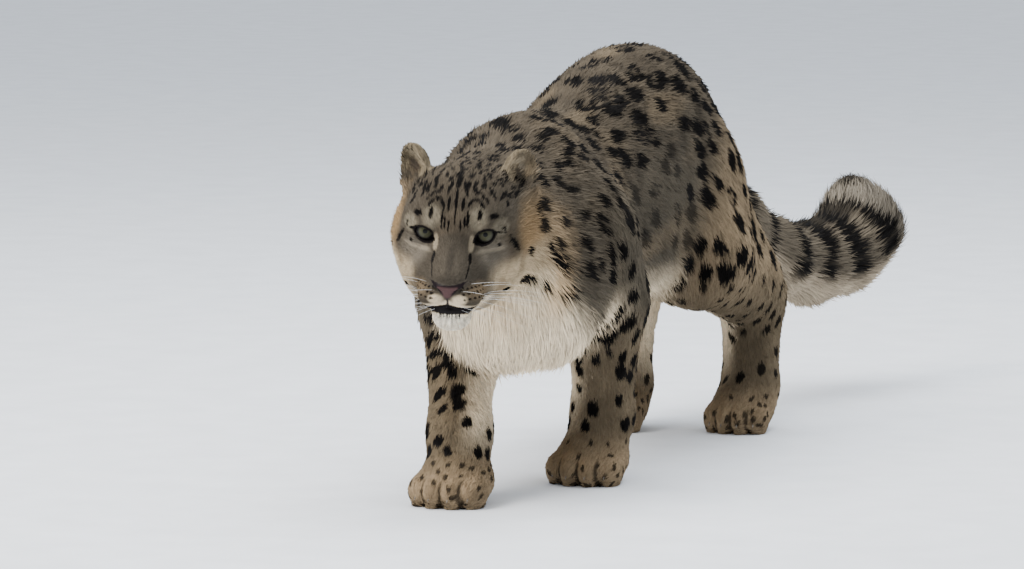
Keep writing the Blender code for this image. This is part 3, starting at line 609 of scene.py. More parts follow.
def ramp_node(nodes, stops):
    """A colour ramp with these positions and colours."""
    node = nodes.new("ShaderNodeValToRGB")
    elements = node.color_ramp.elements
    while len(elements) < len(stops):
        elements.new(0.5)
    for element, (position, colour) in zip(elements, stops):
        element.position = position
        element.color = (*colour, 1.0)
    return node


def hair_material(name):
    """Fur: the colour of the markings, broken up by noise at the scale of single hairs."""
    material, nodes, links = shader_of(name)
    shader = nodes["Principled BSDF"]
    noise = add_bump(nodes, links, shader, *HAIR_RELIEF)
    tone = stretched(nodes, links, noise.outputs["Fac"], *HAIR_TONES)
    blend = vector_math(nodes, links, "MULTIPLY", attribute(nodes, "marks").outputs["Color"], tone)
    links.new(blend.outputs["Vector"], shader.inputs["Base Color"])
    shader.inputs["Roughness"].default_value = DRY
    shader.inputs["Specular IOR Level"].default_value = 0.06
    return material


def skin_material():
    """Skin under the fur, whose nose, lips and lids are moist and so less rough."""
    material = hair_material("skin_finish")
    nodes, links = material.node_tree.nodes, material.node_tree.links
    rough = stretched(nodes, links, attribute(nodes, "wet").outputs["Fac"], DRY, MOIST)
    links.new(rough, nodes["Principled BSDF"].inputs["Roughness"])
    return material


def eye_material():
    """Round pupil, pale iris with radial fibres and a dark edge, and dark white of the eye."""
    material, nodes, links = shader_of("eye_finish")
    shader = nodes["Principled BSDF"]
    place = nodes.new("ShaderNodeUVMap")
    place.uv_map = "iris"
    centred = vector_math(nodes, links, "SUBTRACT", place.outputs["UV"])
    centred.inputs[1].default_value = (0.5, 0.5, 0.0)
    length = vector_math(nodes, links, "LENGTH", centred.outputs["Vector"])
    direction = vector_math(nodes, links, "NORMALIZE", centred.outputs["Vector"])
    rings = ramp_node(nodes, IRIS_STOPS)
    fibres = nodes.new("ShaderNodeTexNoise")
    fibres.inputs["Scale"].default_value = FIBRE_SCALE
    fibres.inputs["Detail"].default_value = FIBRE_DETAIL
    links.new(length.outputs["Value"], rings.inputs["Fac"])
    links.new(direction.outputs["Vector"], fibres.inputs["Vector"])
    shade = stretched(nodes, links, fibres.outputs["Fac"], *FIBRE_TONES)
    blend = vector_math(nodes, links, "MULTIPLY", rings.outputs["Color"], shade)
    links.new(blend.outputs["Vector"], shader.inputs["Base Color"])
    shader.inputs["Roughness"].default_value = 0.12
    shader.inputs["Specular IOR Level"].default_value = 0.05
    shader.inputs["Coat Weight"].default_value = 0.10
    shader.inputs["Coat Roughness"].default_value = 0.02
    return material


def toned_material(name, relief, stops, roughness):
    """Claw, whisker or floor: two tones mixed by the noise that also gives the relief."""
    material, nodes, links = shader_of(name)
    shader = nodes["Principled BSDF"]
    noise = add_bump(nodes, links, shader, *relief)
    tones = ramp_node(nodes, stops)
    links.new(noise.outputs["Fac"], tones.inputs["Fac"])
    links.new(tones.outputs["Color"], shader.inputs["Base Color"])
    shader.inputs["Roughness"].default_value = roughness
    return material


# Colours


def linear(red, green, blue):
    """A colour as the photo shows it, from 0 to 255, for the shader."""
    value = rows(red, green, blue) / 255
    return np.where(value < 0.04045, value / 12.92, ((value + 0.055) / 1.055) ** 2.4)


BACK = linear(79, 71, 60)
FLANK = linear(83, 76, 65)
CREAM = linear(246, 224, 190)
WHITE = linear(254, 242, 220)
TAN = linear(152, 130, 101)
LEG = linear(110, 97, 78)
THIGH = linear(132, 115, 92)
BLACK = linear(15, 13, 12)
SMOKE = linear(27, 25, 24)
FACE = linear(82, 75, 65)
CHEEK = linear(118, 110, 98)
PALE_BROW = linear(136, 127, 109)
PINK = linear(82, 60, 59)
LEATHER = linear(26, 19, 21)
EDGES_AND_LID_SHADE = linear(24, 20, 20)        # of lids and lips, and of the painted shade along the upper lids
RUFF = linear(172, 142, 103)
JAW = linear(212, 190, 156)
SHADE = linear(46, 42, 38)
EYE_CORNER = linear(164, 150, 127)
UNDER_EYE = linear(170, 158, 138)
EAR_BACK = linear(26, 24, 23)
EAR_RIM = linear(124, 112, 92)
# painted shade in the hollow of the ear
EAR_HOLLOW_SHADE = linear(44, 43, 43)
WARM_BIB = linear(206, 168, 120)
WARM_SIDE = linear(122, 107, 86)
TAIL_SIDE = linear(97, 88, 75)
TAIL_UNDER = linear(170, 154, 131)
TAIL_END = linear(118, 110, 98)
PAW = linear(156, 135, 107)


def ramp(value, start, end):
    """Smooth step from 0 at start to 1 at end, which may be the smaller."""
    t = np.clip((value - start) / (end - start), 0.0, 1.0)
    return t * t * (3 - 2 * t)


def plain(paint, p):
    """One colour for all the points."""
    return np.tile(paint, (len(p), 1))


def over(colours, paint, amount):
    """The colours with a paint laid over them, by an amount at each point."""
    return colours + (paint - colours) * np.clip(amount, 0.0, 1.0)[:, None]


def blob(m, centre, radii, edge=0.3):
    """1 in an ellipsoid and 0 outside it, with a soft edge."""
    reach = np.linalg.norm((m - rows(*centre)) / rows(*radii), axis=-1)
    return ramp(reach, 1 + edge, 1 - edge)


WAVES = np.random.default_rng(5).normal(size=(10, 3))
PHASES = np.random.default_rng(6).uniform(0, 2 * math.pi, size=10)


WAVE_TURN = 2.2                   # radians of a wave over one hump


def noise_at(p, size):
    """Smooth noise from about -1 to 1 whose humps are about so large."""
    total = np.zeros(len(p))
    for wave, phase in zip(WAVES, PHASES):
        total += np.sin(p @ wave * (WAVE_TURN / size) + phase)
    return total / math.sqrt(len(WAVES))


# Parts of the body, and what grows there

PARTS = ("head", "neck", "torso", "tail", *LEGS)
PART_BLEND = 0.012                # depth over which one part's coat turns into the next one's


def distances(p):
    """Distance to each part's own mass."""
    found = [
        within(HEAD_BOX, p, lambda q: head_field(q, 1)), within(NECK_BOX, p, lambda q: neck_field(q, 1)),
        within(TORSO_BOX, p, lambda q: torso_field(q, 1)),
        within(box_round(TAIL), p, lambda q: tail_field(q, 1)),
    ]
    found += [within(leg_box(leg), p, lambda q: leg_field(q, leg)) for leg in LEGS.values()]
    return np.stack(found, 1)


def shares_at(p):
    """How much each part counts at each point, as columns in the order of PARTS."""
    near = -distances(p) / PART_BLEND
    near = np.exp(near - near.max(1, keepdims=True))
    return near / near.sum(1, keepdims=True)


def unit(v):
    return v / np.maximum(np.linalg.norm(v, axis=-1, keepdims=True), 1e-12)


def across_surface(v, normal):
    return unit(v - normal * (v * normal).sum(-1, keepdims=True))


NOSE_TIP = (0.0, 0.130, -0.044)
FRONT_AND_DOWN = rows(0, -0.62, -0.78)
CHIN_AT = (0, 0.098, -0.098)
HEAD_REACH = 0.2                  # from the head's centre to beyond its farthest point
RUN_BLEND = 0.03                  # over which the lie turns from one length of the tail to the next


def by_head(m):
    return np.abs(m).max(-1) < HEAD_REACH


def chest_share(n):
    """1 where the trunk faces forward and down, 0 where it faces up or back."""
    return ramp(n @ FRONT_AND_DOWN, 0.05, 0.55)


def tail_run(p):
    """The way the tail runs beside each point."""
    middles = (TAIL_SPOTS[1:] + TAIL_SPOTS[:-1]) / 2
    far = np.linalg.norm(p[:, None] - middles[None], axis=-1)
    pull = np.exp(-((far - far.min(1, keepdims=True)) / RUN_BLEND) ** 2)
    return unit(pull @ unit(np.diff(TAIL_SPOTS, axis=0)))


def head_lie(p):
    """On the head the coat runs back from the nose, down over the cheeks, and up the ears."""
    q = to_head(p)
    m = mirrored(q)
    side = np.where(q[:, :1] < 0, -1.0, 1.0) * rows(1, 0, 0) + rows(0, 1, 1)
    flow = unit(m - rows(*NOSE_TIP))
    back = ramp(m[:, 1], 0.050, -0.020)
    flow += rows(0.10, -0.30, -0.80) * (back * ramp(m[:, 2], 0.030, -0.030))[:, None]
    chin = blob(m, (0, 0.088, -0.095), (0.030, 0.035, 0.020))
    flow = over(flow, rows(0.1, -0.7, -0.7), chin)
    ear = ramp(ear_field(m), 0.006, 0.001) * ramp(m[:, 2], 0.044, 0.054)
    flow = over(flow, EAR_AXES[:, 2] + 0.25 * EAR_AXES[:, 0], ear)
    return unit(flow * side) @ HEAD_AXES.T


def lie_at(p, n, shares):
    """The way the coat runs, along the skin."""
    chest = chest_share(n)[:, None]
    up = np.clip(n[:, 2:], 0, 1)
    back = rows(0, 1.0, 0) + rows(0, 0, -0.55) * (1 - up)
    neck = rows(0, 0.9, -0.35) * (1 - chest) + rows(0, 0.20, -1.0) * chest
    paw = ramp(p[:, 2], 0.085, 0.045)[:, None]
    leg = rows(0, 0.15, -1.0) * (1 - paw) + rows(0, -1.0, -0.55) * paw
    flows = [head_lie(p), neck, back, tail_run(p)] + [leg] * len(LEGS)
    total = sum(share[:, None] * flow for share, flow in zip(shares.T, flows))
    return across_surface(total, n)


def coat_at(p, n, shares):
    """Length, root width and tufts per square metre of the coat at each point."""
    m = mirrored(to_head(p))
    nose = np.linalg.norm(m - rows(*NOSE_TIP), axis=1)
    ear = ramp(ear_field(m), 0.008, 0.002) * ramp(m[:, 2], 0.044, 0.054)
    face = ramp(nose, 0.060, 0.190) ** 2
    chin = blob(m, CHIN_AT, (0.026, 0.040, 0.012), 0.3)
    chest = chest_share(n)
    low = ramp(p[:, 2], 0.24, 0.08)
    belly = ramp(-n[:, 2], 0.1, 0.7)
    kinds = {
        "head": (
            0.0036 + 0.0150 * face - 0.0110 * ear * face + 0.0070 * chin, 0.0009 + 0.0011 * face,
            0.82e6 - 0.44e6 * face + 0.40e6 * ear,
        ),
        "neck": (0.030 + 0.022 * chest, 0.0032, 1.80e5 + 0.20e5 * chest),
        "torso": (0.026 + 0.020 * belly, 0.0032, 1.58e5),
        "tail": (0.042, 0.0036, 1.32e5),
    }
    leg = (0.020 - 0.010 * low, 0.0026 - 0.0008 * low, 1.85e5 + 1.65e5 * low)
    values = [kinds.get(name, leg) for name in PARTS]
    return [sum(shares[:, i] * value[k] for i, value in enumerate(values)) for k in range(3)]


# Skin

BODY_LOW = rows(-0.26, -0.80, -0.06)
BODY_HIGH = rows(0.26, 1.08, 0.66)
NECK_CUT = -0.066                 # forward of the head's centre, where the fine skin ends
THROAT_CUT = -0.118               # above the head's centre, where it ends below the jaw
CUT_OVERLAP = 0.004
SOLE = 0.001                      # height of the skin over the floor
BODY_CELL = 0.0055
HEAD_CELL = 0.0018
BODY_TRIANGLES = 70000
HEAD_TRIANGLES = 130000
SKIN_TONE = 0.80                  # of the coat's colour: the skin under it is a little darker
BODY_DEPTH = 0.0050               # of the coat on the body, and how much less it is on the head and paws
HEAD_LESS = 0.0033
PAW_SHARE = 0.75
NOSE_LESS = 0.0011                # how much less still it is round the nose


def coat_depth(p):
    """How deep the skin lies under the flesh's outline."""
    m = mirrored(to_head(p))
    head = ramp(m[:, 1], NECK_CUT - 0.01, 0.0)
    nose = ramp(np.linalg.norm(m - rows(*NOSE_TIP), axis=1), 0.090, 0.020)
    low = ramp(p[:, 2], 0.22, 0.06)
    return BODY_DEPTH - HEAD_LESS * np.maximum(head, PAW_SHARE * low) - NOSE_LESS * head * nose


def skin_field(p):
    return body_field(p, 1) + coat_depth(p)


def behind_head(p):
    """Distance out of the zone that holds the head, through its back or its underside."""
    q = to_head(p)
    return np.maximum(NECK_CUT - q[:, 1], THROAT_CUT - q[:, 2])


def make_skin():
    """One closed skin: coarse over the body, fine over the head."""

    def body(p):
        cut = np.maximum(-CUT_OVERLAP - behind_head(p), SOLE - p[:, 2])
        return np.maximum(skin_field(p), cut)

    def head(p):
        return np.maximum(skin_field(p), behind_head(p))

    skin = mesh_object("skin", *surface(body, BODY_LOW, BODY_HIGH, BODY_CELL))
    thinned(skin, BODY_TRIANGLES)
    head_skin = mesh_object("head_skin", *surface(head, HEAD_BOX[0], HEAD_BOX[1], HEAD_CELL))
    thinned(head_skin, HEAD_TRIANGLES)
    return united(skin, head_skin)


def vertices_of(obj):
    """Places in the body's own axes and normals of a piece's vertices."""
    count = len(obj.data.vertices)
    points, normals = np.empty(count * 3, np.float32), np.empty(count * 3, np.float32)
    obj.data.vertices.foreach_get("co", points)
    obj.data.vertices.foreach_get("normal", normals)
    return points.reshape(-1, 3).astype(float) - OFFSET, normals.reshape(-1, 3).astype(float)


def triangles_of(obj):
    obj.data.calc_loop_triangles()
    faces = np.empty(len(obj.data.loop_triangles) * 3, np.int32)
    obj.data.loop_triangles.foreach_get("vertices", faces)
    return faces.reshape(-1, 3)


# Roots of the tufts

SOLE_TOP = 0.002                  # height up to which a sole has no tufts


def root_spots(points, normals, faces, shares, draw, share_of_all):
    """Random places on the skin, as thick as the coat is there: points, normals and parts' shares."""
    a, b, c = (points[faces[:, i]] for i in range(3))
    areas = np.linalg.norm(np.cross(b - a, c - a), axis=1) / 2
    middles = (a + b + c) / 3
    middle_normals = unit(normals[faces].sum(1))
    density = coat_at(middles, middle_normals, shares[faces].mean(1))[2] * hairy(middles) * share_of_all
    reach = np.cumsum(areas * density)
    ticks = np.arange(int(reach[-1])) + draw.uniform(0, 1, int(reach[-1]))
    picked = np.clip(np.searchsorted(reach, ticks), 0, len(faces) - 1)
    u, v = draw.uniform(0, 1, (2, len(picked)))
    flip = u + v > 1
    u[flip], v[flip] = 1 - u[flip], 1 - v[flip]
    weights = np.stack([1 - u - v, u, v], 1)[:, :, None]
    corners = faces[picked]
    roots, facing, owned = ((values[corners] * weights).sum(1) for values in (points, normals, shares))
    return roots, unit(facing), owned


PAD_FOOT = (0.0045, -0.0465)      # left and height of the foot of the nose pad's slanting edge
PAD_SLANT = 1.16                  # how far the edge goes outwards for each step up
PAD_COSINE = 0.653                # of the slant


def leather_at(m):
    """Distance to the bare leather of the nose: a wide pad that narrows down to the lip."""
    across, forward, up = m.T
    edge = (across - PAD_FOOT[0] - PAD_SLANT * (up - PAD_FOOT[1])) * PAD_COSINE
    pad = np.maximum(np.maximum(edge, up + 0.0335 - 0.10 * across), -0.0485 - up)
    cleft = np.maximum(np.maximum(across - 0.0009, up + 0.0470), -0.0610 - up)
    return np.maximum(np.minimum(pad, cleft), 0.110 - forward)


# Black edge of the lips: along the mouth line and on the lower lip, as points and radii
LIP_LINE = (
    ((0, 0.1215, -0.0660), 0.0012), ((0.013, 0.1190, -0.0712), 0.0022), ((0.027, 0.1030, -0.0735), 0.0036),
    ((0.0365, 0.0820, -0.0710), 0.0024),
)
LIP_EDGE = (((0, 0.1120, -0.0745), 0.0048), ((0.026, 0.1020, -0.0760), 0.0048))


def lips_at(m):
    return np.minimum(chain(m, LIP_LINE, 0.002), chain(m, LIP_EDGE, 0.002))


def bare_at(p):
    """Distance to the nearest bare edge: nose, lids or lips."""
    m = mirrored(to_head(p))
    nearest = np.minimum(np.minimum(opening_at(m) - 0.0022, leather_at(m) - 0.0006), lips_at(m) - 0.0004)
    return np.where(by_head(m), nearest, 1.0)


def hairy(p):
    """0 on the leather, lids, lips and soles, 1 in the coat."""
    return ramp(bare_at(p), 0.0, 0.0006) * (p[:, 2] > SOLE_TOP)


# Markings

MARK_CHUNK = 40000
MARK_TRIES = 9000
MARK_SIZES = (0.82, 1.15)         # of its kind's size
MARK_WIDTHS = (0.85, 1.10)        # of its kind's width, besides
MARK_TURN = 0.6                   # off the lie, as a slope
CROWN_UP = 0.036                  # the crown is above this height in the head
CROWN_FRONT = 0.033               # and behind this
OFF_EAR = 0.004
INNER_FROM = 0.10                 # height above which a leg's inner side has no marks
PAW_TOP = 0.060
ELBOW = 0.20
KNEE = 0.24
NEAREST = 4                       # marks that are looked at for each point
DEPTH_WEIGHT = 0.3                # of a point's depth under a mark in its distance from it
SOLID_EDGE = (1.12, 0.86)         # of a mark's own size, over which its edge fades
RING = 0.74                       # radius of a rosette's ring, and the reach of its dark
RING_EDGE = (0.40, 0.24)
RING_MIDDLE = 0.32                # how dark the middle of a rosette is
GAP_TURN = 7.0                    # from one rosette's gaps to the next one's

# Scattered marks of each part: spacing, half length, half width, share of rosettes, darkness
SCATTERED = {
    "crown": (0.0092, 0.0062, 0.0032, 0.0, 0.98), "nape": (0.0185, 0.0122, 0.0084, 0.06, 1.0),
    "neck": (0.0275, 0.0150, 0.0092, 0.08, 0.96), "back": (0.0285, 0.0176, 0.0128, 0.24, 1.0),
    "flank": (0.032, 0.0165, 0.0108, 0.40, 0.68), "rump": (0.0262, 0.0160, 0.0120, 0.10, 1.0),
    "shoulder": (0.0252, 0.0148, 0.0110, 0.06, 1.0), "shank": (0.0182, 0.0106, 0.0078, 0.0, 1.0),
    "hock": (0.0200, 0.0086, 0.0060, 0.0, 0.95), "paw": (0.0112, 0.0052, 0.0032, 0.0, 0.85),
}


class Marks:
    """Dark spots and rosettes: places on the skin, each with its axes, half sizes and kind."""

    def __init__(self):
        self.spots = []

    def add(self, centre, along, normal, half_length, half_width, ring=0.0, dark=1.0):
        lengthwise = across_surface(rows(*along)[None], rows(*normal)[None])[0]
        sideways = np.cross(normal, lengthwise)
        self.spots.append((*centre, *lengthwise, *sideways, half_length, half_width, ring, dark))

    def cover(self, p):
        """How dark the marks make each point, from 0 to 1."""
        spots = np.array(self.spots)
        starts = range(0, len(p), MARK_CHUNK)
        return np.concatenate([cover_of(spots, p[start:start + MARK_CHUNK]) for start in starts])


def cover_of(spots, q):
    """How dark the nearest of the marks make each point."""
    centres = spots[:, 0:3]
    far = (q * q).sum(1)[:, None] + (centres * centres).sum(1)[None] - 2 * q @ centres.T
    number = np.argpartition(far, NEAREST, axis=1)[:, :NEAREST]
    found = spots[number]
    off = q[:, None] - found[..., 0:3]
    lengthwise, sideways = found[..., 3:6], found[..., 6:9]
    half_length, half_width, ring, dark = np.moveaxis(found[..., 9:13], -1, 0)
    u = (off * lengthwise).sum(-1) / half_length
    v = (off * sideways).sum(-1) / half_width
    deep = (off * np.cross(lengthwise, sideways)).sum(-1) / half_length
    wobble = 0.16 * noise_at(q, 0.012)[:, None] + 0.10 * noise_at(q + 0.3, 0.005)[:, None]
    reach = np.sqrt(u * u + v * v + DEPTH_WEIGHT * deep * deep) + wobble
    turn = np.arctan2(v, u) + GAP_TURN * number
    gaps = ramp(np.sin(2 * turn) + 0.6 * np.sin(3 * turn + 1.0), -1.05, -0.75)
    hollow = ramp(np.abs(reach - RING), *RING_EDGE) * gaps
    hollow = np.maximum(hollow, RING_MIDDLE * ramp(reach, 0.95, 0.6))
    return ((ramp(reach, *SOLID_EDGE) * (1 - ring) + hollow * ring) * dark).max(1)


def kind_of(p, n, share):
    """The kind of marks that grow at a place, or none."""
    m = mirrored(to_head(p[None]))[0]
    part = PARTS[int(share.argmax())]
    if part == "head":
        on_crown = m[2] > CROWN_UP and m[1] < CROWN_FRONT and ear_field(m[None])[0] > OFF_EAR
        return "crown" if on_crown else None
    if part == "tail":
        return None
    if part == "neck":
        if n @ FRONT_AND_DOWN > 0.15:
            return None
        return "nape" if n[2] > 0.5 else "neck"
    if part == "torso":
        if n[2] < -0.25:
            return None
        if p[1] > 0.13 or (p[1] > 0.02 and n[2] < 0.5 and p[2] > 0.36):
            return "rump"
        return "back" if n[2] > 0.25 or p[1] < -0.20 else "flank"
    leg = LEGS[part]
    if n[0] * leg["side"] < -0.55 and p[2] > INNER_FROM:
        return None
    if p[2] < PAW_TOP:
        return "paw"
    if leg["front"]:
        return "shoulder" if p[2] > ELBOW else "shank"
    return "rump" if p[2] > KNEE else "hock"


def scatter(marks, points, normals, shares, draw):
    """Marks at random over the body, each at least its kind's spacing from the others."""
    order = draw.permutation(len(points))[:MARK_TRIES]
    runs = lie_at(points[order], normals[order], shares[order])
    taken = np.empty((0, 4))
    for index, run in zip(order, runs):
        p, n = points[index], normals[index]
        kind = kind_of(p, n, shares[index])
        if kind is None:
            continue
        spacing, half_length, half_width, rosettes, dark = SCATTERED[kind]
        gaps = np.linalg.norm(taken[:, :3] - p, axis=1) - (taken[:, 3] + spacing) / 2
        if len(gaps) and gaps.min() < 0:
            continue
        taken = np.vstack([taken, (*p, spacing)])
        size = draw.uniform(*MARK_SIZES)
        turned = run + np.cross(n, run) * draw.uniform(-MARK_TURN, MARK_TURN)
        ring = float(draw.uniform() < rosettes)
        width = half_width * size * draw.uniform(*MARK_WIDTHS)
        marks.add(p, turned, n, half_length * size, width, ring, dark)


# Strokes of the face, on both sides: the ends as left, forward and up in the head, and half width
STROKES = (
    ((0.0258, 0.092, -0.0010), (0.0268, 0.105, -0.0115), 0.0021),  # tear line down the side of the nose
    ((0.0265, 0.108, -0.0130), (0.0238, 0.124, -0.0250), 0.0011),
    ((0.0155, 0.063, 0.0455), (0.0205, 0.054, 0.0530), 0.0024),    # arch over the brow
    ((0.0205, 0.054, 0.0530), (0.0290, 0.051, 0.0530), 0.0027),
    ((0.0290, 0.051, 0.0530), (0.0365, 0.058, 0.0450), 0.0024),
    ((0.0160, 0.066, 0.0420), (0.0172, 0.080, 0.0240), 0.0015),    # inner leg of the arch
    ((0.0316, 0.071, 0.0335), (0.0318, 0.062, 0.0430), 0.0031),    # inside the pale patch over the eye
    ((0.0095, 0.054, 0.0550), (0.0090, 0.066, 0.0420), 0.0018),    # streaks beside the middle line
    ((0.0070, 0.074, 0.0310), (0.0085, 0.082, 0.0210), 0.0014),
    ((0.0125, 0.072, 0.0340), (0.0130, 0.080, 0.0240), 0.0012),
    ((0.0080, 0.030, 0.0680), (0.0130, 0.050, 0.0580), 0.0028),    # from the crown to the brow
    ((0.0200, 0.034, 0.0620), (0.0260, 0.044, 0.0570), 0.0026),
    ((0.0290, 0.040, 0.0590), (0.0410, 0.048, 0.0520), 0.0022),
    ((0.0380, 0.022, 0.0560), (0.0480, 0.036, 0.0490), 0.0026),
    ((0.0460, 0.064, 0.0365), (0.0550, 0.058, 0.0350), 0.0042),    # over the outer corner
    ((0.0540, 0.072, 0.0170), (0.0620, 0.064, 0.0130), 0.0017),    # line from the outer corner
    ((0.0640, 0.059, 0.0200), (0.0680, 0.060, 0.0110), 0.0026),
    ((0.0580, 0.070, -0.0015), (0.0610, 0.067, -0.0050), 0.0022),
    ((0.0735, 0.053, 0.0040), (0.0790, 0.044, -0.0150), 0.0036),   # cheek
    ((0.0885, 0.014, -0.0290), (0.0905, 0.002, -0.0380), 0.0056),
    ((0.0760, 0.008, -0.0730), (0.0850, -0.020, -0.0790), 0.0066),
    ((0.0640, 0.058, -0.0690), (0.0710, 0.044, -0.0710), 0.0028),
    ((0.1040, -0.044, -0.0380), (0.1060, -0.052, -0.0680), 0.0058), # edge of the ruff
    ((0.0960, -0.034, -0.0840), (0.0970, -0.038, -0.0960), 0.0072),
    ((0.0990, -0.030, 0.0160), (0.1010, -0.036, -0.0040), 0.0040),
)
MIDDLE_STROKES = (
    ((0.0, 0.014, 0.0720), (0.0, 0.042, 0.0630), 0.0040),
    ((0.0, 0.046, 0.0610), (0.0, 0.064, 0.0450), 0.0020),
    ((0.0, 0.066, 0.0430), (0.0, 0.078, 0.0270), 0.0014),
)
STROKE_ENDS = 1.25                # of a stroke's length, so that it blends with the next
DOT_ROWS = ((-0.0375, 0.0015), (-0.0445, 0.0016), (-0.0515, 0.0015))  # whisker dots: height, half size
DOTS_IN_ROW = 6
DOT_DARK = 0.9
DOT_LENGTH = 1.5                  # of a dot, for a width of 1
SKIN_STEPS = 6                    # of Newton's method, down to the skin
LEAST_SLOPE = 0.05
DIFFERENCE = 1e-4                 # either way, to measure the slope


def slope(p):
    """The gradient of the skin's field, by differences."""
    shifts = np.eye(3) * DIFFERENCE
    return np.stack([(skin_field(p + s) - skin_field(p - s)) / (2 * DIFFERENCE) for s in shifts], -1)


def on_skin(p):
    """The place on the skin beside a point, and the skin's normal there."""
    p = p[None]
    for _ in range(SKIN_STEPS):
        g = slope(p)
        p = p - g * (skin_field(p) / np.maximum((g * g).sum(-1), LEAST_SLOPE))[:, None]
    return p[0], unit(slope(p))[0]


def face_spot(left, height, forward):
    """The place on the head's own surface beside a place in the head's axes, and its normal."""
    return on_skin(from_head(rows(left, forward, height)))


def add_stroke(marks, start, stop, side, half_width):
    """A mark that runs from one place of the face to another."""
    ends = [face_spot(left * side, height, forward)[0] for left, forward, height in (start, stop)]
    middle = (ends[0] + ends[1]) / 2
    run = ends[1] - ends[0]
    normal = unit(slope(middle[None]))[0]
    marks.add(middle, run, normal, STROKE_ENDS * np.linalg.norm(run) / 2, half_width)


def face_marks(marks):
    """Strokes and whisker dots of the face."""
    for side in (1, -1):
        for start, stop, half_width in STROKES:
            add_stroke(marks, start, stop, side, half_width)
        for height, size in DOT_ROWS:
            for i in range(DOTS_IN_ROW):
                back = i / (DOTS_IN_ROW - 1)
                left, forward = (0.021 + 0.024 * back) * side, 0.132 - 0.026 * back
                spot, normal = face_spot(left, height - 0.002 * back, forward)
                marks.add(spot, HEAD_AXES[:, 0], normal, DOT_LENGTH * size, size, 0.0, DOT_DARK)
    for start, stop, half_width in MIDDLE_STROKES:
        add_stroke(marks, start, stop, 1, half_width)


# Bars across the front of the forelegs: leg, height, half height
BARS = (
    ("front_right", 0.236, 0.0064), ("front_right", 0.214, 0.0068), ("front_right", 0.192, 0.0062),
    ("front_right", 0.174, 0.0050), ("front_left", 0.236, 0.0052), ("front_left", 0.212, 0.0050),
)
BAR_RUN = (1, 0.1, 0.12)
BAR_HALF_LENGTH = 0.030


def leg_bars(marks):
    """Bars on the skin in front of the line from elbow to ankle."""
    for name, height, half in BARS:
        leg = LEGS[name]
        top, foot = rows(*leg["knee"]), rows(*leg["ankle"])
        middle = foot + (top - foot) * (height - foot[2]) / (top[2] - foot[2])
        spot, normal = on_skin(middle + rows(0.012 * leg["side"], -0.050, 0))
        marks.add(spot, BAR_RUN, normal, BAR_HALF_LENGTH, half)


# Bands of the tail: share of its length, half width
TAIL_BANDS = (
    (0.200, 0.015), (0.310, 0.018), (0.430, 0.020), (0.555, 0.022), (0.680, 0.023), (0.800, 0.024),
    (0.920, 0.027),
)
BAND_EDGE = 0.003
LINE_DARK = 0.8                   # of the line along the tail's back


def tail_place(p):
    """How far along the tail each point is, how high on it, from -1 to 1, and the tail's whole length."""
    steps = np.linalg.norm(np.diff(TAIL_SPOTS, axis=0), axis=1)
    starts = np.concatenate([[0], np.cumsum(steps)])
    best, length, height = np.full(len(p), np.inf), np.zeros(len(p)), np.zeros(len(p))
    for i, step in enumerate(steps):
        run = (TAIL_SPOTS[i + 1] - TAIL_SPOTS[i]) / step
        t = np.clip((p - TAIL_SPOTS[i]) @ run, 0, step)
        off = p - TAIL_SPOTS[i] - t[:, None] * run
        far = np.linalg.norm(off, axis=1)
        nearer = far < best
        best[nearer], length[nearer] = far[nearer], (starts[i] + t)[nearer]
        height[nearer] = (off[:, 2] / np.maximum(far, 1e-6))[nearer]
    return length, height, starts[-1]


def tail_cover(p):
    """How dark the bands of the tail and the line along its back make each point."""
    length, height, whole = tail_place(p)
    wobble = 0.006 * noise_at(p, 0.030) + 0.003 * noise_at(p + 0.2, 0.010)
    dark = np.zeros(len(p))
    for share, half in TAIL_BANDS:
        off = np.abs(length - share * whole + wobble)
        dark = np.maximum(dark, ramp(off, half + BAND_EDGE, half - BAND_EDGE))
    bands = dark * ramp(height, -0.72, -0.25) * ramp(np.abs(height), -0.2, 0.1)
    back_line = LINE_DARK * ramp(height, 0.80, 0.96) * ramp(length / whole, 0.06, 0.20)
    return np.maximum(bands, back_line)


# Base colours

# Patches of the head: paint, amount, centre, half sizes and softness of the edge
CHEEK_PATCHES = (
    (RUFF, 1.0, (0.094, -0.002, -0.014), (0.034, 0.038, 0.036), 0.5),
    (CHEEK, 1.0, (0.046, 0.062, -0.018), (0.022, 0.030, 0.020), 0.4),
)
MUZZLE_PATCHES = (
    (SHADE, 0.5, (0, 0.112, -0.010), (0.0050, 0.030, 0.014), 0.6),
    (SHADE, 0.5, (0, 0.134, -0.030), (0.0120, 0.020, 0.0040), 0.6),
    (TAN, 0.8, (0.026, 0.100, -0.048), (0.018, 0.026, 0.013), 0.4),
)
PALE_PATCHES = (
    (CREAM, 0.9, (0.0150, 0.132, -0.0520), (0.0095, 0.020, 0.0060), 0.35),
    (PALE_BROW, 0.9, (0.029, 0.078, 0.032), (0.013, 0.030, 0.014), 0.35),
    (PALE_BROW, 0.8, (0.055, 0.055, 0.018), (0.010, 0.020, 0.010), 0.35),
    (EYE_CORNER, 0.9, (0.0225, 0.085, 0.003), (0.0036, 0.030, 0.0095), 0.3),
    (UNDER_EYE, 0.7, (0.046, 0.068, -0.0085), (0.018, 0.030, 0.0030), 0.4),
    (WHITE, 1.0, (0, 0.098, -0.093), (0.024, 0.040, 0.0155), 0.25),
)
# Where the painted shade in the ear's hollow lies, in the ear's axes: centre, half sizes and softness
EAR_HOLLOW = ((0.001, 0.002, 0.004), (0.0085, 0.02, 0.0140), 0.5)
BIB_MIDDLE = 0.030                # left of the body's middle


def patched(c, m, patches):
    """The colours with soft patches laid over them."""
    for paint, amount, *place in patches:
        c = over(c, paint, amount * blob(m, *place))
    return c


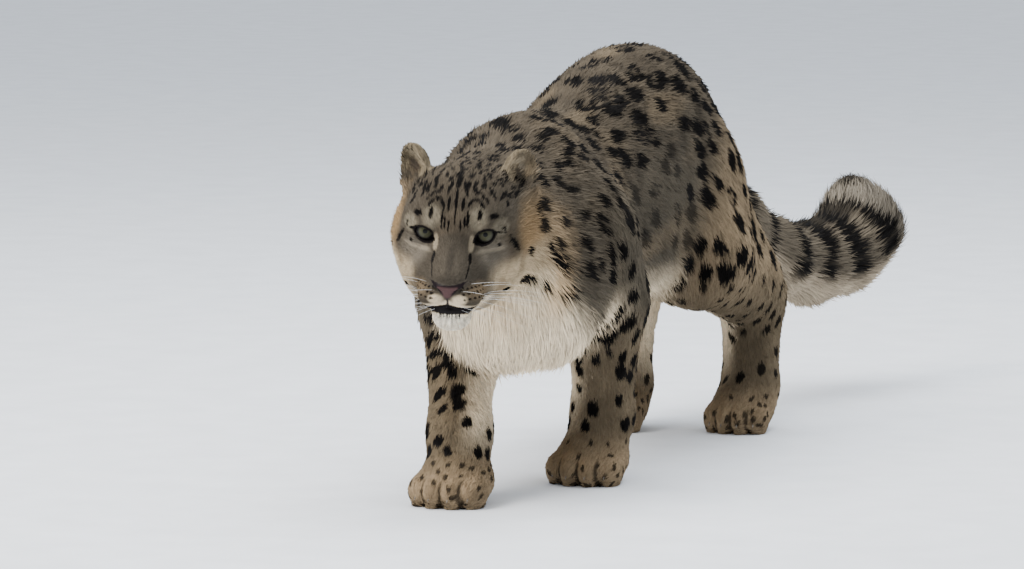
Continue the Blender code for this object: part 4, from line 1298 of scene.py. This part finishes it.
def head_colour(p):
    m = mirrored(to_head(p))
    across, forward, up = m.T
    c = over(plain(FACE, p), BACK, ramp(up, 0.030, 0.060))
    c = over(c, TAN, ramp(forward, 0.012, -0.020) * ramp(up, 0.040, 0.010))
    c = patched(c, m, CHEEK_PATCHES)
    jaw = ramp(up, -0.036, -0.052) * ramp(forward, 0.075, 0.040)
    jaw = np.maximum(jaw, ramp(up, -0.016, -0.042) * ramp(across, 0.040, 0.062))
    c = over(c, over(plain(JAW, p), TAN, 0.6 * ramp(noise_at(p, 0.016), 0.3, 1.3)), jaw)
    c = patched(c, m, MUZZLE_PATCHES)
    c = over(c, CREAM, ramp(up + 0.30 * (across - 0.012), -0.0535, -0.0590) * ramp(forward, 0.06, 0.08))
    return ear_colour(patched(c, m, PALE_PATCHES), m)


def ear_colour(c, m):
    """The colours with those of the ears over them: dark back, pale rim and painted shade in the hollow.
    """
    ear = ramp(ear_field(m), 0.010, 0.004) * ramp(m[:, 2], 0.040, 0.050)
    e = (m - rows(*EAR_AT)) @ EAR_AXES
    c = over(c, EAR_BACK, ear * ramp(e[:, 1], -0.002, -0.008))
    c = over(c, EAR_RIM, ear * ramp(e[:, 1], -0.008, -0.002))
    # painted shade: the hollow of the ear darkened
    return over(c, EAR_HOLLOW_SHADE, ear * blob(e, *EAR_HOLLOW))


def neck_colour(p, n):
    near = ramp(np.linalg.norm(p - rows(*HEAD_AT), axis=1), 0.185, 0.125)
    c = over(plain(FLANK, p), TAN, near)
    c = over(c, BACK, ramp(n[:, 2], -0.1, 0.5))
    warm = ramp(noise_at(p * rows(1, 1, 0.4), 0.035), -0.3, 1.2) * ramp(p[:, 2], 0.22, 0.32)
    front = ramp(chest_share(n), 0.25, 0.85) * ramp(np.abs(p[:, 0] - BIB_MIDDLE), 0.142, 0.098)
    bib = over(plain(CREAM, p), WARM_BIB, 0.8 * warm)
    return over(c, bib, np.maximum(front, ramp(n[:, 2], -0.3, -0.7)))


def torso_colour(p, n):
    y, z, up = p[:, 1], p[:, 2], n[:, 2]
    c = over(plain(FLANK, p), BACK, ramp(up, 0.1, 0.6))
    c = over(c, WARM_SIDE, 0.45 * ramp(noise_at(p * rows(1, 0.5, 1), 0.040), 0.1, 1.3))
    c = over(c, SMOKE, 0.35 * ramp(noise_at(p * rows(1, 1, 0.35) + 0.7, 0.018), 0.2, 1.4))
    c = over(c, THIGH, ramp(y, 0.05, 0.18) * ramp(up, 0.6, 0.1) * ramp(z, 0.44, 0.32))
    return over(c, CREAM, ramp(z, 0.290, 0.225) * ramp(up, 0.1, -0.35))


def tail_colour(p):
    length, height, whole = tail_place(p)
    c = over(plain(TAIL_SIDE, p), TAIL_UNDER, ramp(height, -0.1, -0.6))
    return over(c, TAIL_END, 0.8 * ramp(length / whole, 0.90, 1.0))


def leg_colour(p, n, leg):
    z = p[:, 2]
    c = over(plain(LEG, p), FLANK if leg["front"] else THIGH, ramp(z, 0.18, 0.26))
    c = over(c, CREAM, ramp(n[:, 0] * leg["side"], -0.15, -0.75) * ramp(z, 0.05, 0.14))
    return over(c, PAW, ramp(z, 0.075, 0.030))


def body_colour(p, n, shares):
    colours = [head_colour(p), neck_colour(p, n), torso_colour(p, n), tail_colour(p)]
    colours += [leg_colour(p, n, leg) for leg in LEGS.values()]
    return sum(share[:, None] * colour for share, colour in zip(shares.T, colours))


def toe_furrow_shade(p):
    """Painted shade in the furrows between the toes."""
    dark = np.zeros(len(p))
    for leg in LEGS.values():
        size = paw_size(leg)
        q = (p - rows(*leg["paw"])) * rows(1, -1, 1)
        for a, b in zip(TOES, TOES[1:]):
            middle = rows((a[0] + b[0]) / 2, (a[1] + b[1]) / 2 + 0.012, 0.016) * rows(size, size, 1)
            off = (q - middle) / rows(0.0028, 0.026, 0.020)
            dark = np.maximum(dark, ramp(np.linalg.norm(off, axis=1), 1.3, 0.6))
    return dark


CORNER_OF_EYE = (((0.0265, 0.072, 0.0020), 0.0018), ((0.0225, 0.078, -0.0060), 0.0008))
CHIN_STREAKS = (CHIN_AT, (0.034, 0.050, 0.026), 0.3)
CHIN_WITHOUT_MARKS = ((0, 0.098, -0.097), (0.030, 0.045, 0.020), 0.2)
# how dark the painted shade between the toes is
TOE_SHADE = 0.8


def colour_at(p, n, shares, marks):
    """The coat's colour at each point: base, markings, painted shade between the toes and along the upper
    lids, and the black of lids and lips.
    """
    m = mirrored(to_head(p))
    streaks = noise_at(p * rows(1, 1, 0.15), 0.0016) * blob(m, *CHIN_STREAKS)
    uneven = 1 + 0.10 * noise_at(p, 0.030) + 0.05 * noise_at(p, 0.006) + 0.16 * streaks
    dark = marks.cover(p) * (1 - blob(m, *CHIN_WITHOUT_MARKS))
    dark = np.maximum(dark, tail_cover(p) * shares[:, PARTS.index("tail")])
    # painted shade in the furrows between the toes, laid on with the markings
    dark = np.maximum(dark, TOE_SHADE * toe_furrow_shade(p))
    tone = over(plain(BLACK, p), SMOKE, ramp(noise_at(p, 0.05), 0.2, 1.4))
    c = over(body_colour(p, n, shares) * uneven[:, None], tone, dark)
    c = over(c, EDGES_AND_LID_SHADE, black_edges_and_lid_shade(m))
    return nose_colour(c, m)


def black_edges_and_lid_shade(m):
    """How black the lids, with painted shade along the upper lids, the inner corners of the eyes and the
    lips make each point.
    """
    # the black rim of the lids, wider over the eye, where it is partly painted shade under the upper lids
    lid_and_shade = 0.0026 + 0.0016 * ramp(m[:, 2], EYE_AT[2], EYE_AT[2] + 0.008)
    rim = ramp(opening_at(m) - lid_and_shade, 0.0014, 0.0)
    rim = np.maximum(rim, ramp(chain(m, CORNER_OF_EYE, 0.002), 0.0015, 0.0))
    lips = np.maximum(ramp(lips_at(m), 0.0022, 0.0008), mouth_line(m))
    return np.maximum(rim, lips) * by_head(m)


def nose_colour(c, m):
    """The colours with the nose's leather over them, pink within its dark edge."""
    across, _, up = m.T
    leather = ramp(leather_at(m), 0.0012, 0.0002) * by_head(m)
    half = 0.0052 + 0.0078 * ramp(up, -0.0450, -0.0355)
    pink = ramp(across - half, 0.0016, -0.0016) * ramp(up, -0.0530, -0.0470) * ramp(up, -0.0335, -0.0362)
    return over(over(c, LEATHER, leather), PINK, leather * pink)


def mouth_line(m):
    """Dark along the mouth, wider at its corners, with hairs that hang down into the white of the chin."""
    across, forward, up = m.T
    top = -0.0600 - 0.09 * across
    hang = 0.5 + 0.5 * np.sin(2100 * across + 2 * np.sin(700 * across))
    foot = -0.0735 - 0.0135 * hang * ramp(across, 0.026, 0.012)
    band = ramp(up, top + 0.0006, top - 0.0006) * ramp(up, foot - 0.0012, foot + 0.0012)
    return band * ramp(across, 0.042, 0.036) * ramp(forward, 0.060, 0.075)


def wet_at(p):
    """1 on the moist leather, lids and lips, 0 in the coat."""
    m = mirrored(to_head(p))
    nearest = np.minimum(np.minimum(opening_at(m), leather_at(m)), lips_at(m))
    return ramp(nearest, 0.003, 0.0005) * by_head(m)


# Tufts of the coat

LONG_TUFT = 0.030                 # from this length on a tuft bends in two
SUNK = 0.0005                     # how far a root goes under the skin
PATCH = 0.0015                    # half of a tuft's patch on the map
SHORT_FACES = rows((0, 2, 3), (1, 3, 2), (0, 1, 2), (0, 3, 1)).astype(int)
LONG_FACES = rows(
    (0, 1, 2), (0, 2, 5), (0, 5, 3), (1, 4, 5), (1, 5, 2), (0, 3, 4), (0, 4, 1), (3, 5, 6), (5, 4, 6),
    (4, 3, 6),
).astype(int)
# Painted shade along a tuft, a factor for each corner from root to tip: darkest at the root, deep in the
# coat, and a little paler at the tip
SHORT_PAINTED_SHADE = rows(0.72, 0.72, 0.96, 1.08)
LONG_PAINTED_SHADE = rows(0.70, 0.70, 0.74, 0.94, 0.94, 0.98, 1.08)
SHORT_PATCH = rows((-1, -1), (1, -1), (0, 0.2), (0, 1)) * PATCH
LONG_PATCH = rows((-1, -1), (1, -1), (0, -0.6), (-0.7, 0.2), (0.7, 0.2), (0, 0.3), (0, 1)) * PATCH
STRAYS = 0.14                     # share of tufts whose tips stand out of the coat
STRAY = (0.06, 0.16)              # how far they do, as shares of their length
LOWEST = 0.0004                   # of a tuft's corners over the floor
MOST_TRIANGLES = 190000           # in one piece of the coat
SHALLOWEST = 0.0008               # depth that the coat is given where the outline is nearer than this
SINKING = 0.45                    # how far a tip may stay under the outline, as a share of the depth
TIP_MOVES = (-0.6, 0.4)           # the most that a tip is moved in and out, as shares of its length
RIDGE_AT = 0.42                   # where along a short tuft its ridge is
SPREAD = 9.0                      # degrees to either side of the lie
LENGTHS = (0.75, 1.15)            # of the coat's length
EDGE_REACH = 0.012                # from a bare edge to where the coat has its whole length
AT_EDGE = 0.45                    # share of its length that it has at the edge
COLOUR_FROM = 0.45                # where along a tuft the markings give its colour
TONES = (0.86, 1.12)              # of single tufts
LOOK_SPREAD = 0.28                # how much the shading of one tuft differs from the skin's


def jittered(lies, normals, draw):
    """The lie turned a little to either side, differently for each tuft."""
    angles = np.radians(draw.normal(0, 1, len(lies)) * SPREAD)[:, None]
    return lies * np.cos(angles) + np.cross(normals, lies) * np.sin(angles)


def tips_of(roots, lies, normals, lengths, depth, draw):
    """Tips near the coat's outline, and how far each was moved to follow the body's curve."""
    tips = roots + lies * lengths[:, None] + normals * depth[:, None]
    strays = draw.uniform(size=len(roots)) < STRAYS
    stray = strays * draw.uniform(*STRAY, len(roots)) * lengths
    wanted = stray - depth * draw.uniform(0.0, SINKING, len(roots))
    moved = np.clip(wanted - body_field(tips, 0), TIP_MOVES[0] * lengths, TIP_MOVES[1] * lengths)
    return tips + normals * moved[:, None], moved


def tuft_points(roots, lies, normals, lengths, widths, draw):
    """Corners of short tufts, four to a tuft, and of long ones, seven to a tuft."""
    depth = np.maximum(-body_field(roots, 0), SHALLOWEST)
    tips, moved = tips_of(roots, lies, normals, lengths, depth, draw)
    side = np.cross(lies, normals) * (widths / 2)[:, None]
    down = normals * SUNK
    high = normals * (0.30 * depth + 0.30 * widths)[:, None]
    short = lengths < LONG_TUFT
    ridge = roots + RIDGE_AT * (tips - roots) + high - 0.24 * normals * moved[:, None]
    short_points = np.stack([roots - side - down, roots + side - down, ridge, tips], 1)[short]
    middle = (roots + tips) / 2 + normals * (0.18 * depth - 0.25 * moved)[:, None]
    thick = normals * (0.30 * widths)[:, None]
    long_points = np.stack([
        roots - side - down, roots + side - down, roots + thick,
        middle - 0.75 * side, middle + 0.75 * side, middle + thick, tips,
    ], 1)[~short]
    for corners in (short_points, long_points):
        corners[..., 2] = np.maximum(corners[..., 2], LOWEST)
    return short, short_points, long_points


def chart(p, name):
    """Where a part's points lie on an unwrap of its own shape, from 0 to 1 both ways."""
    if name == "head":
        q = to_head(p)
        turn, along = np.arctan2(q[:, 0], q[:, 2] + 0.02), (q[:, 1] + 0.12) / 0.28
    elif name == "tail":
        length, _, whole = tail_place(p)
        near = TAIL_SPOTS[np.linalg.norm(p[:, None] - TAIL_SPOTS[None], axis=-1).argmin(1)]
        turn, along = np.arctan2(p[:, 0] - near[:, 0], p[:, 2] - near[:, 2]), length / whole
    elif name in LEGS:
        leg = LEGS[name]
        top, foot = rows(*leg["top"]), rows(*leg["ankle"])
        share = np.clip((p[:, 2:] - foot[2]) / (top[2] - foot[2]), 0, 1)
        off = p - foot - share * (top - foot)
        turn, along = np.arctan2(off[:, 0], -off[:, 1]), p[:, 2] / 0.46
    else:
        turn, along = np.arctan2(p[:, 0] - SPINE_X, p[:, 2] - 0.35), (p[:, 1] + 0.62) / 1.05
    return 0.01 + 0.98 * np.stack([0.5 + turn / (2 * math.pi), np.clip(along, 0, 1)], 1)


def coat_piece(name, part, roots, normals, lies, lengths, widths, colours, draw, material):
    """Tufts as one mesh, with a colour for each corner and a map that charts each tuft by its root on its
    part.
    """
    short, short_points, long_points = tuft_points(roots, lies, normals, lengths, widths, draw)
    tones = draw.uniform(*TONES, len(roots))[:, None] * colours
    tilted = unit(normals + LOOK_SPREAD * draw.normal(0, 1, (len(roots), 3)))
    spots = chart(roots, part)
    points, faces, shades, patches, looks, start = [], [], [], [], [], 0
    kinds = (
        (short, short_points, SHORT_FACES, SHORT_PAINTED_SHADE, SHORT_PATCH),
        (~short, long_points, LONG_FACES, LONG_PAINTED_SHADE, LONG_PATCH),
    )
    for pick, corners, face_rows, shade_along_tuft, patch in kinds:
        count, size = corners.shape[:2]
        first = start + size * np.arange(count)[:, None, None]
        faces.append((face_rows[None] + first).reshape(-1, 3))
        points.append(corners.reshape(-1, 3))
        # Each corner's colour takes the painted shade along the tuft, darker towards its root
        shades.append((tones[pick][:, None] * shade_along_tuft[None, :, None]).reshape(-1, 3))
        patches.append((spots[pick][:, None] + patch[None]).reshape(-1, 2))
        looks.append(np.repeat(tilted[pick], size, axis=0))
        start += size * count
    faces = np.concatenate(faces)
    obj = mesh_object(name, np.concatenate(points), faces, material)
    paint_points(obj, np.concatenate(shades))
    layer = obj.data.uv_layers.new(name="OFBake")
    layer.data.foreach_set("uv", np.concatenate(patches)[faces.ravel()].astype(np.float32).ravel())
    obj.data.shade_smooth()
    obj.data.normals_split_custom_set_from_vertices(np.concatenate(looks).tolist())
    return attach(obj)


def make_coat(skin_data, marks, share_of_all):
    """The whole coat, in pieces by part of the body, from the skin's points, normals, faces and shares."""
    draw = np.random.default_rng(41)
    material = hair_material("coat_finish")
    roots, normals, shares = root_spots(*skin_data, draw, share_of_all)
    lengths, widths, _ = coat_at(roots, normals, shares)
    lies = jittered(lie_at(roots, normals, shares), normals, draw)
    lengths = lengths * draw.uniform(*LENGTHS, len(lengths))
    lengths = lengths * (AT_EDGE + (1 - AT_EDGE) * ramp(bare_at(roots), 0.0, EDGE_REACH))
    widths = widths / math.sqrt(share_of_all)
    colours = colour_at(roots + COLOUR_FROM * lies * lengths[:, None], normals, shares, marks)
    owner = shares.argmax(1)
    cost = np.where(lengths < LONG_TUFT, len(SHORT_FACES), len(LONG_FACES))
    for i, part in enumerate(PARTS):
        own = np.flatnonzero(owner == i)
        own = own[np.argsort(roots[own, 0 if part in ("head", "tail") else 1], kind="stable")]
        total = np.cumsum(cost[own])
        pieces = int(total[-1] // MOST_TRIANGLES) + 1
        for k in range(pieces):
            pick = own[(total > total[-1] * k / pieces) & (total <= total[-1] * (k + 1) / pieces)]
            tufts = (values[pick] for values in (roots, normals, lies, lengths, widths, colours))
            coat_piece(f"coat_{part}_{k + 1}", part, *tufts, draw, material)


# Eyes, claws and whiskers

GAZE = unit(rows(0.30, -0.94, -0.02))
CORNEA = 0.0009                   # how far the eye's front stands out of the ball
CORNEA_EDGE = (0.50, 0.20)        # angles off the line of sight
EYE_RINGS = 40
EYE_SPOKES = 48


def closed_faces(rings, sides):
    """Triangles over rings of points, closed by two points after them, at the first and last ring."""
    first, last = rings * sides, rings * sides + 1
    faces = []
    for j in range(sides):
        k = (j + 1) % sides
        faces.append((first, j, k))
        for low in range(0, first - sides, sides):
            high = low + sides
            faces += [(low + j, high + j, high + k), (low + j, high + k, low + k)]
        faces.append((last, first - sides + k, first - sides + j))
    return np.array(faces)


def make_eye(name, centre, material):
    """An eyeball with a slightly domed front, whose map measures off the line of sight."""
    across = unit(np.cross(rows(0, 0, 1), GAZE))
    up = np.cross(GAZE, across)
    angles = np.linspace(0, math.pi, EYE_RINGS + 1)[1:-1, None, None]
    turns = np.linspace(0, 2 * math.pi, EYE_SPOKES, endpoint=False)[:, None]
    radii = EYE_RADIUS + CORNEA * ramp(angles, *CORNEA_EDGE)
    side = across * np.cos(turns) + up * np.sin(turns)
    rings = centre + radii * (side * np.sin(angles) + GAZE * np.cos(angles))
    ends = [centre + GAZE * (EYE_RADIUS + CORNEA), centre - GAZE * EYE_RADIUS]
    faces = closed_faces(len(rings), EYE_SPOKES)
    obj = mesh_object(name, np.concatenate([rings.reshape(-1, 3), ends]), faces, material)
    reach = np.where(angles < math.pi / 2, np.sin(angles), 1.0)
    flat = (reach * np.concatenate([np.cos(turns), np.sin(turns)], 1)).reshape(-1, 2)
    flat = np.concatenate([flat, [(0, 0), (0, 1)]])
    layer = obj.data.uv_layers.new(name="iris")
    layer.data.foreach_set("uv", (0.5 + 0.5 * flat[faces.ravel()]).astype(np.float32).ravel())
    obj.data.shade_smooth()
    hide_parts(name)
    return attach(obj)


TUBE_SIDE = rows(0.3, 0.2, 0.93)  # a direction that no tube runs in


def tube(path, radii, sides):
    """A closed tube of triangles along a path, with a radius at each point of it."""
    runs = unit(np.gradient(path, axis=0))
    side = unit(np.cross(runs, TUBE_SIDE))
    up = np.cross(side, runs)
    turns = 2 * math.pi * np.arange(sides)[:, None] / sides
    off = np.cos(turns) * side[:, None] + np.sin(turns) * up[:, None]
    rings = path[:, None] + radii[:, None, None] * off
    points = np.concatenate([rings.reshape(-1, 3), path[:1], path[-1:]])
    return points, closed_faces(len(path), sides)[:, ::-1]


def joined(name, tubes, material):
    """Several tubes as one piece."""
    points, faces, start = [], [], 0
    for tube_points, tube_faces in tubes:
        points.append(tube_points)
        faces.append(tube_faces + start)
        start += len(tube_points)
    obj = mesh_object(name, np.concatenate(points), np.concatenate(faces), material)
    obj.data.shade_smooth()
    return obj


# Rows of whiskers: height, count and rise
WHISKER_ROWS = ((-0.0490, 5, 0.20), (-0.0560, 6, 0.0), (-0.0625, 5, -0.22))
WHISKER = 0.078
WHISKER_RADII = np.linspace(0.00017, 0.00004, 9)
WHISKER_SIDES = 5
SAG = (0.10, 0.24)                # of a whisker's length


def whisker_path(root, lie, length, sag):
    t = np.linspace(0, 1, len(WHISKER_RADII))[:, None]
    return root + lie * length * t + rows(0, 0, -1) * sag * length * t * t


def make_whiskers():
    """Whiskers in three rows on either side, longer towards the back of each row."""
    draw = np.random.default_rng(71)
    tubes = []
    for side in (1, -1):
        for height, count, rise in WHISKER_ROWS:
            for i in range(count):
                back = i / (count - 1)
                left, forward = (0.016 + 0.020 * back) * side, 0.122 - 0.036 * back
                root, _ = face_spot(left, height - 0.004 * back, forward)
                lie = rows(side, 0.16 - 0.42 * back, rise + draw.uniform(-0.12, 0.12))
                length = WHISKER * (0.62 + 0.45 * back) * draw.uniform(0.85, 1.1)
                path = whisker_path(root, HEAD_AXES @ unit(lie), length, draw.uniform(*SAG))
                tubes.append(tube(path, WHISKER_RADII, WHISKER_SIDES))
    material = toned_material("whisker_finish", HORN_RELIEF, WHISKER_TONES, 0.4)
    attach(joined("whiskers", tubes, material))


CLAW = 0.013
CLAW_RADII = np.array((0.0020, 0.0019, 0.0016, 0.0012, 0.0007, 0.0001))
CLAW_SIDES = 8
CLAW_RUN = rows(0, -1, 0.10)
CLAW_BEND = rows(0, 0.10, -0.62)


def make_claws():
    """The tips of drawn-in claws, which look out of the fur over each toe."""
    tubes = []
    for leg in LEGS.values():
        size = paw_size(leg)
        for x, y in TOES:
            start = rows(*leg["paw"]) + rows(x * size, -(y + 0.016) * size, 0.017)
            t = np.linspace(0, 1, len(CLAW_RADII))[:, None]
            tubes.append(tube(start + CLAW * (t * CLAW_RUN + t * t * CLAW_BEND), CLAW_RADII, CLAW_SIDES))
    material = toned_material("claw_finish", HORN_RELIEF, CLAW_TONES, 0.35)
    attach(joined("claws", tubes, material))


# Floor, light and camera

FLOOR_SIZE = 80.0
CAMERA_AZIMUTH = 21.0
CAMERA_PITCH = 6.0346
CAMERA_AT = (2.6278, -7.1994, 1.0500)
LENS = 200.0
SENSOR = 36.0
FAR_CLIP = 200.0
AIM = Vector((0.0, 0.0, 0.25))    # of the lamps
# Lamps: name, place, size, energy and colour
LAMPS = (
    ("key", (-1.6, -3.0, 3.4), 2.4, 245.0, (1.0, 0.97, 0.93)),
    ("sky", (0.4, 0.4, 4.2), 4.0, 290.0, (0.95, 0.98, 1.0)),
)
ROOM_COLOUR = (0.86, 0.92, 1.0, 1.0)
ROOM_STRENGTH = 1.1


def make_floor():
    half = FLOOR_SIZE / 2
    corners = rows((-half, -half, 0), (half, -half, 0), (half, half, 0), (-half, half, 0))
    material = toned_material("floor_finish", FLOOR_RELIEF, FLOOR_TONES, 0.9)
    obj = mesh_object("floor", corners, [(0, 1, 2, 3)], material)


def add_area(name, place, size, energy, colour):
    """A square lamp that looks at the body."""
    lamp = bpy.data.lights.new(name, "AREA")
    lamp.shape = "SQUARE"
    lamp.size = size
    lamp.energy = energy
    lamp.color = colour
    obj = bpy.data.objects.new(name, lamp)
    obj.location = place
    obj.rotation_euler = (AIM - Vector(place)).to_track_quat("-Z", "Y").to_euler()
    bpy.context.scene.collection.objects.link(obj)


def make_light():
    world = bpy.data.worlds.new("room")
    world.use_nodes = True
    background = world.node_tree.nodes["Background"]
    background.inputs["Color"].default_value = ROOM_COLOUR
    background.inputs["Strength"].default_value = ROOM_STRENGTH
    bpy.context.scene.world = world
    for lamp in LAMPS:
        add_area(*lamp)


def make_camera():
    camera = bpy.data.cameras.new("camera")
    camera.lens = LENS
    camera.sensor_width = SENSOR
    camera.clip_end = FAR_CLIP
    obj = bpy.data.objects.new("camera", camera)
    obj.location = rows(*CAMERA_AT) + OFFSET
    obj.rotation_euler = (math.radians(90 - CAMERA_PITCH), 0, math.radians(CAMERA_AZIMUTH))
    bpy.context.scene.collection.objects.link(obj)
    bpy.context.scene.camera = obj


# The whole scene


def finish_skin(skin, marks):
    """Colours the skin, and gives what the coat needs of it."""
    points, normals = vertices_of(skin)
    shares = shares_at(points)
    paint_points(skin, colour_at(points, normals, shares, marks) * SKIN_TONE)
    layer = skin.data.attributes.new("wet", "FLOAT", "POINT")
    layer.data.foreach_set("value", wet_at(points).astype(np.float32))
    skin.data.materials.clear()
    skin.data.materials.append(skin_material())
    skin.data.shade_smooth()
    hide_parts(*[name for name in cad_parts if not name.startswith("eye")])
    attach(skin)
    return points, normals, shares


def main():
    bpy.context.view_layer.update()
    skin = make_skin()
    points, normals = vertices_of(skin)
    marks = Marks()
    scatter(marks, points, normals, shares_at(points), np.random.default_rng(23))
    face_marks(marks)
    leg_bars(marks)
    points, normals, shares = finish_skin(skin, marks)
    skin_data = (points, normals, triangles_of(skin), shares)
    make_coat(skin_data, marks, 1.0)
    eye = eye_material()
    for name, side in (("eye_left", 1), ("eye_right", -1)):
        make_eye(name, from_head(rows(side, 1, 1) * rows(*EYE_AT)), eye)
    make_whiskers()
    make_claws()
    make_floor()
    make_light()
    make_camera()


main()
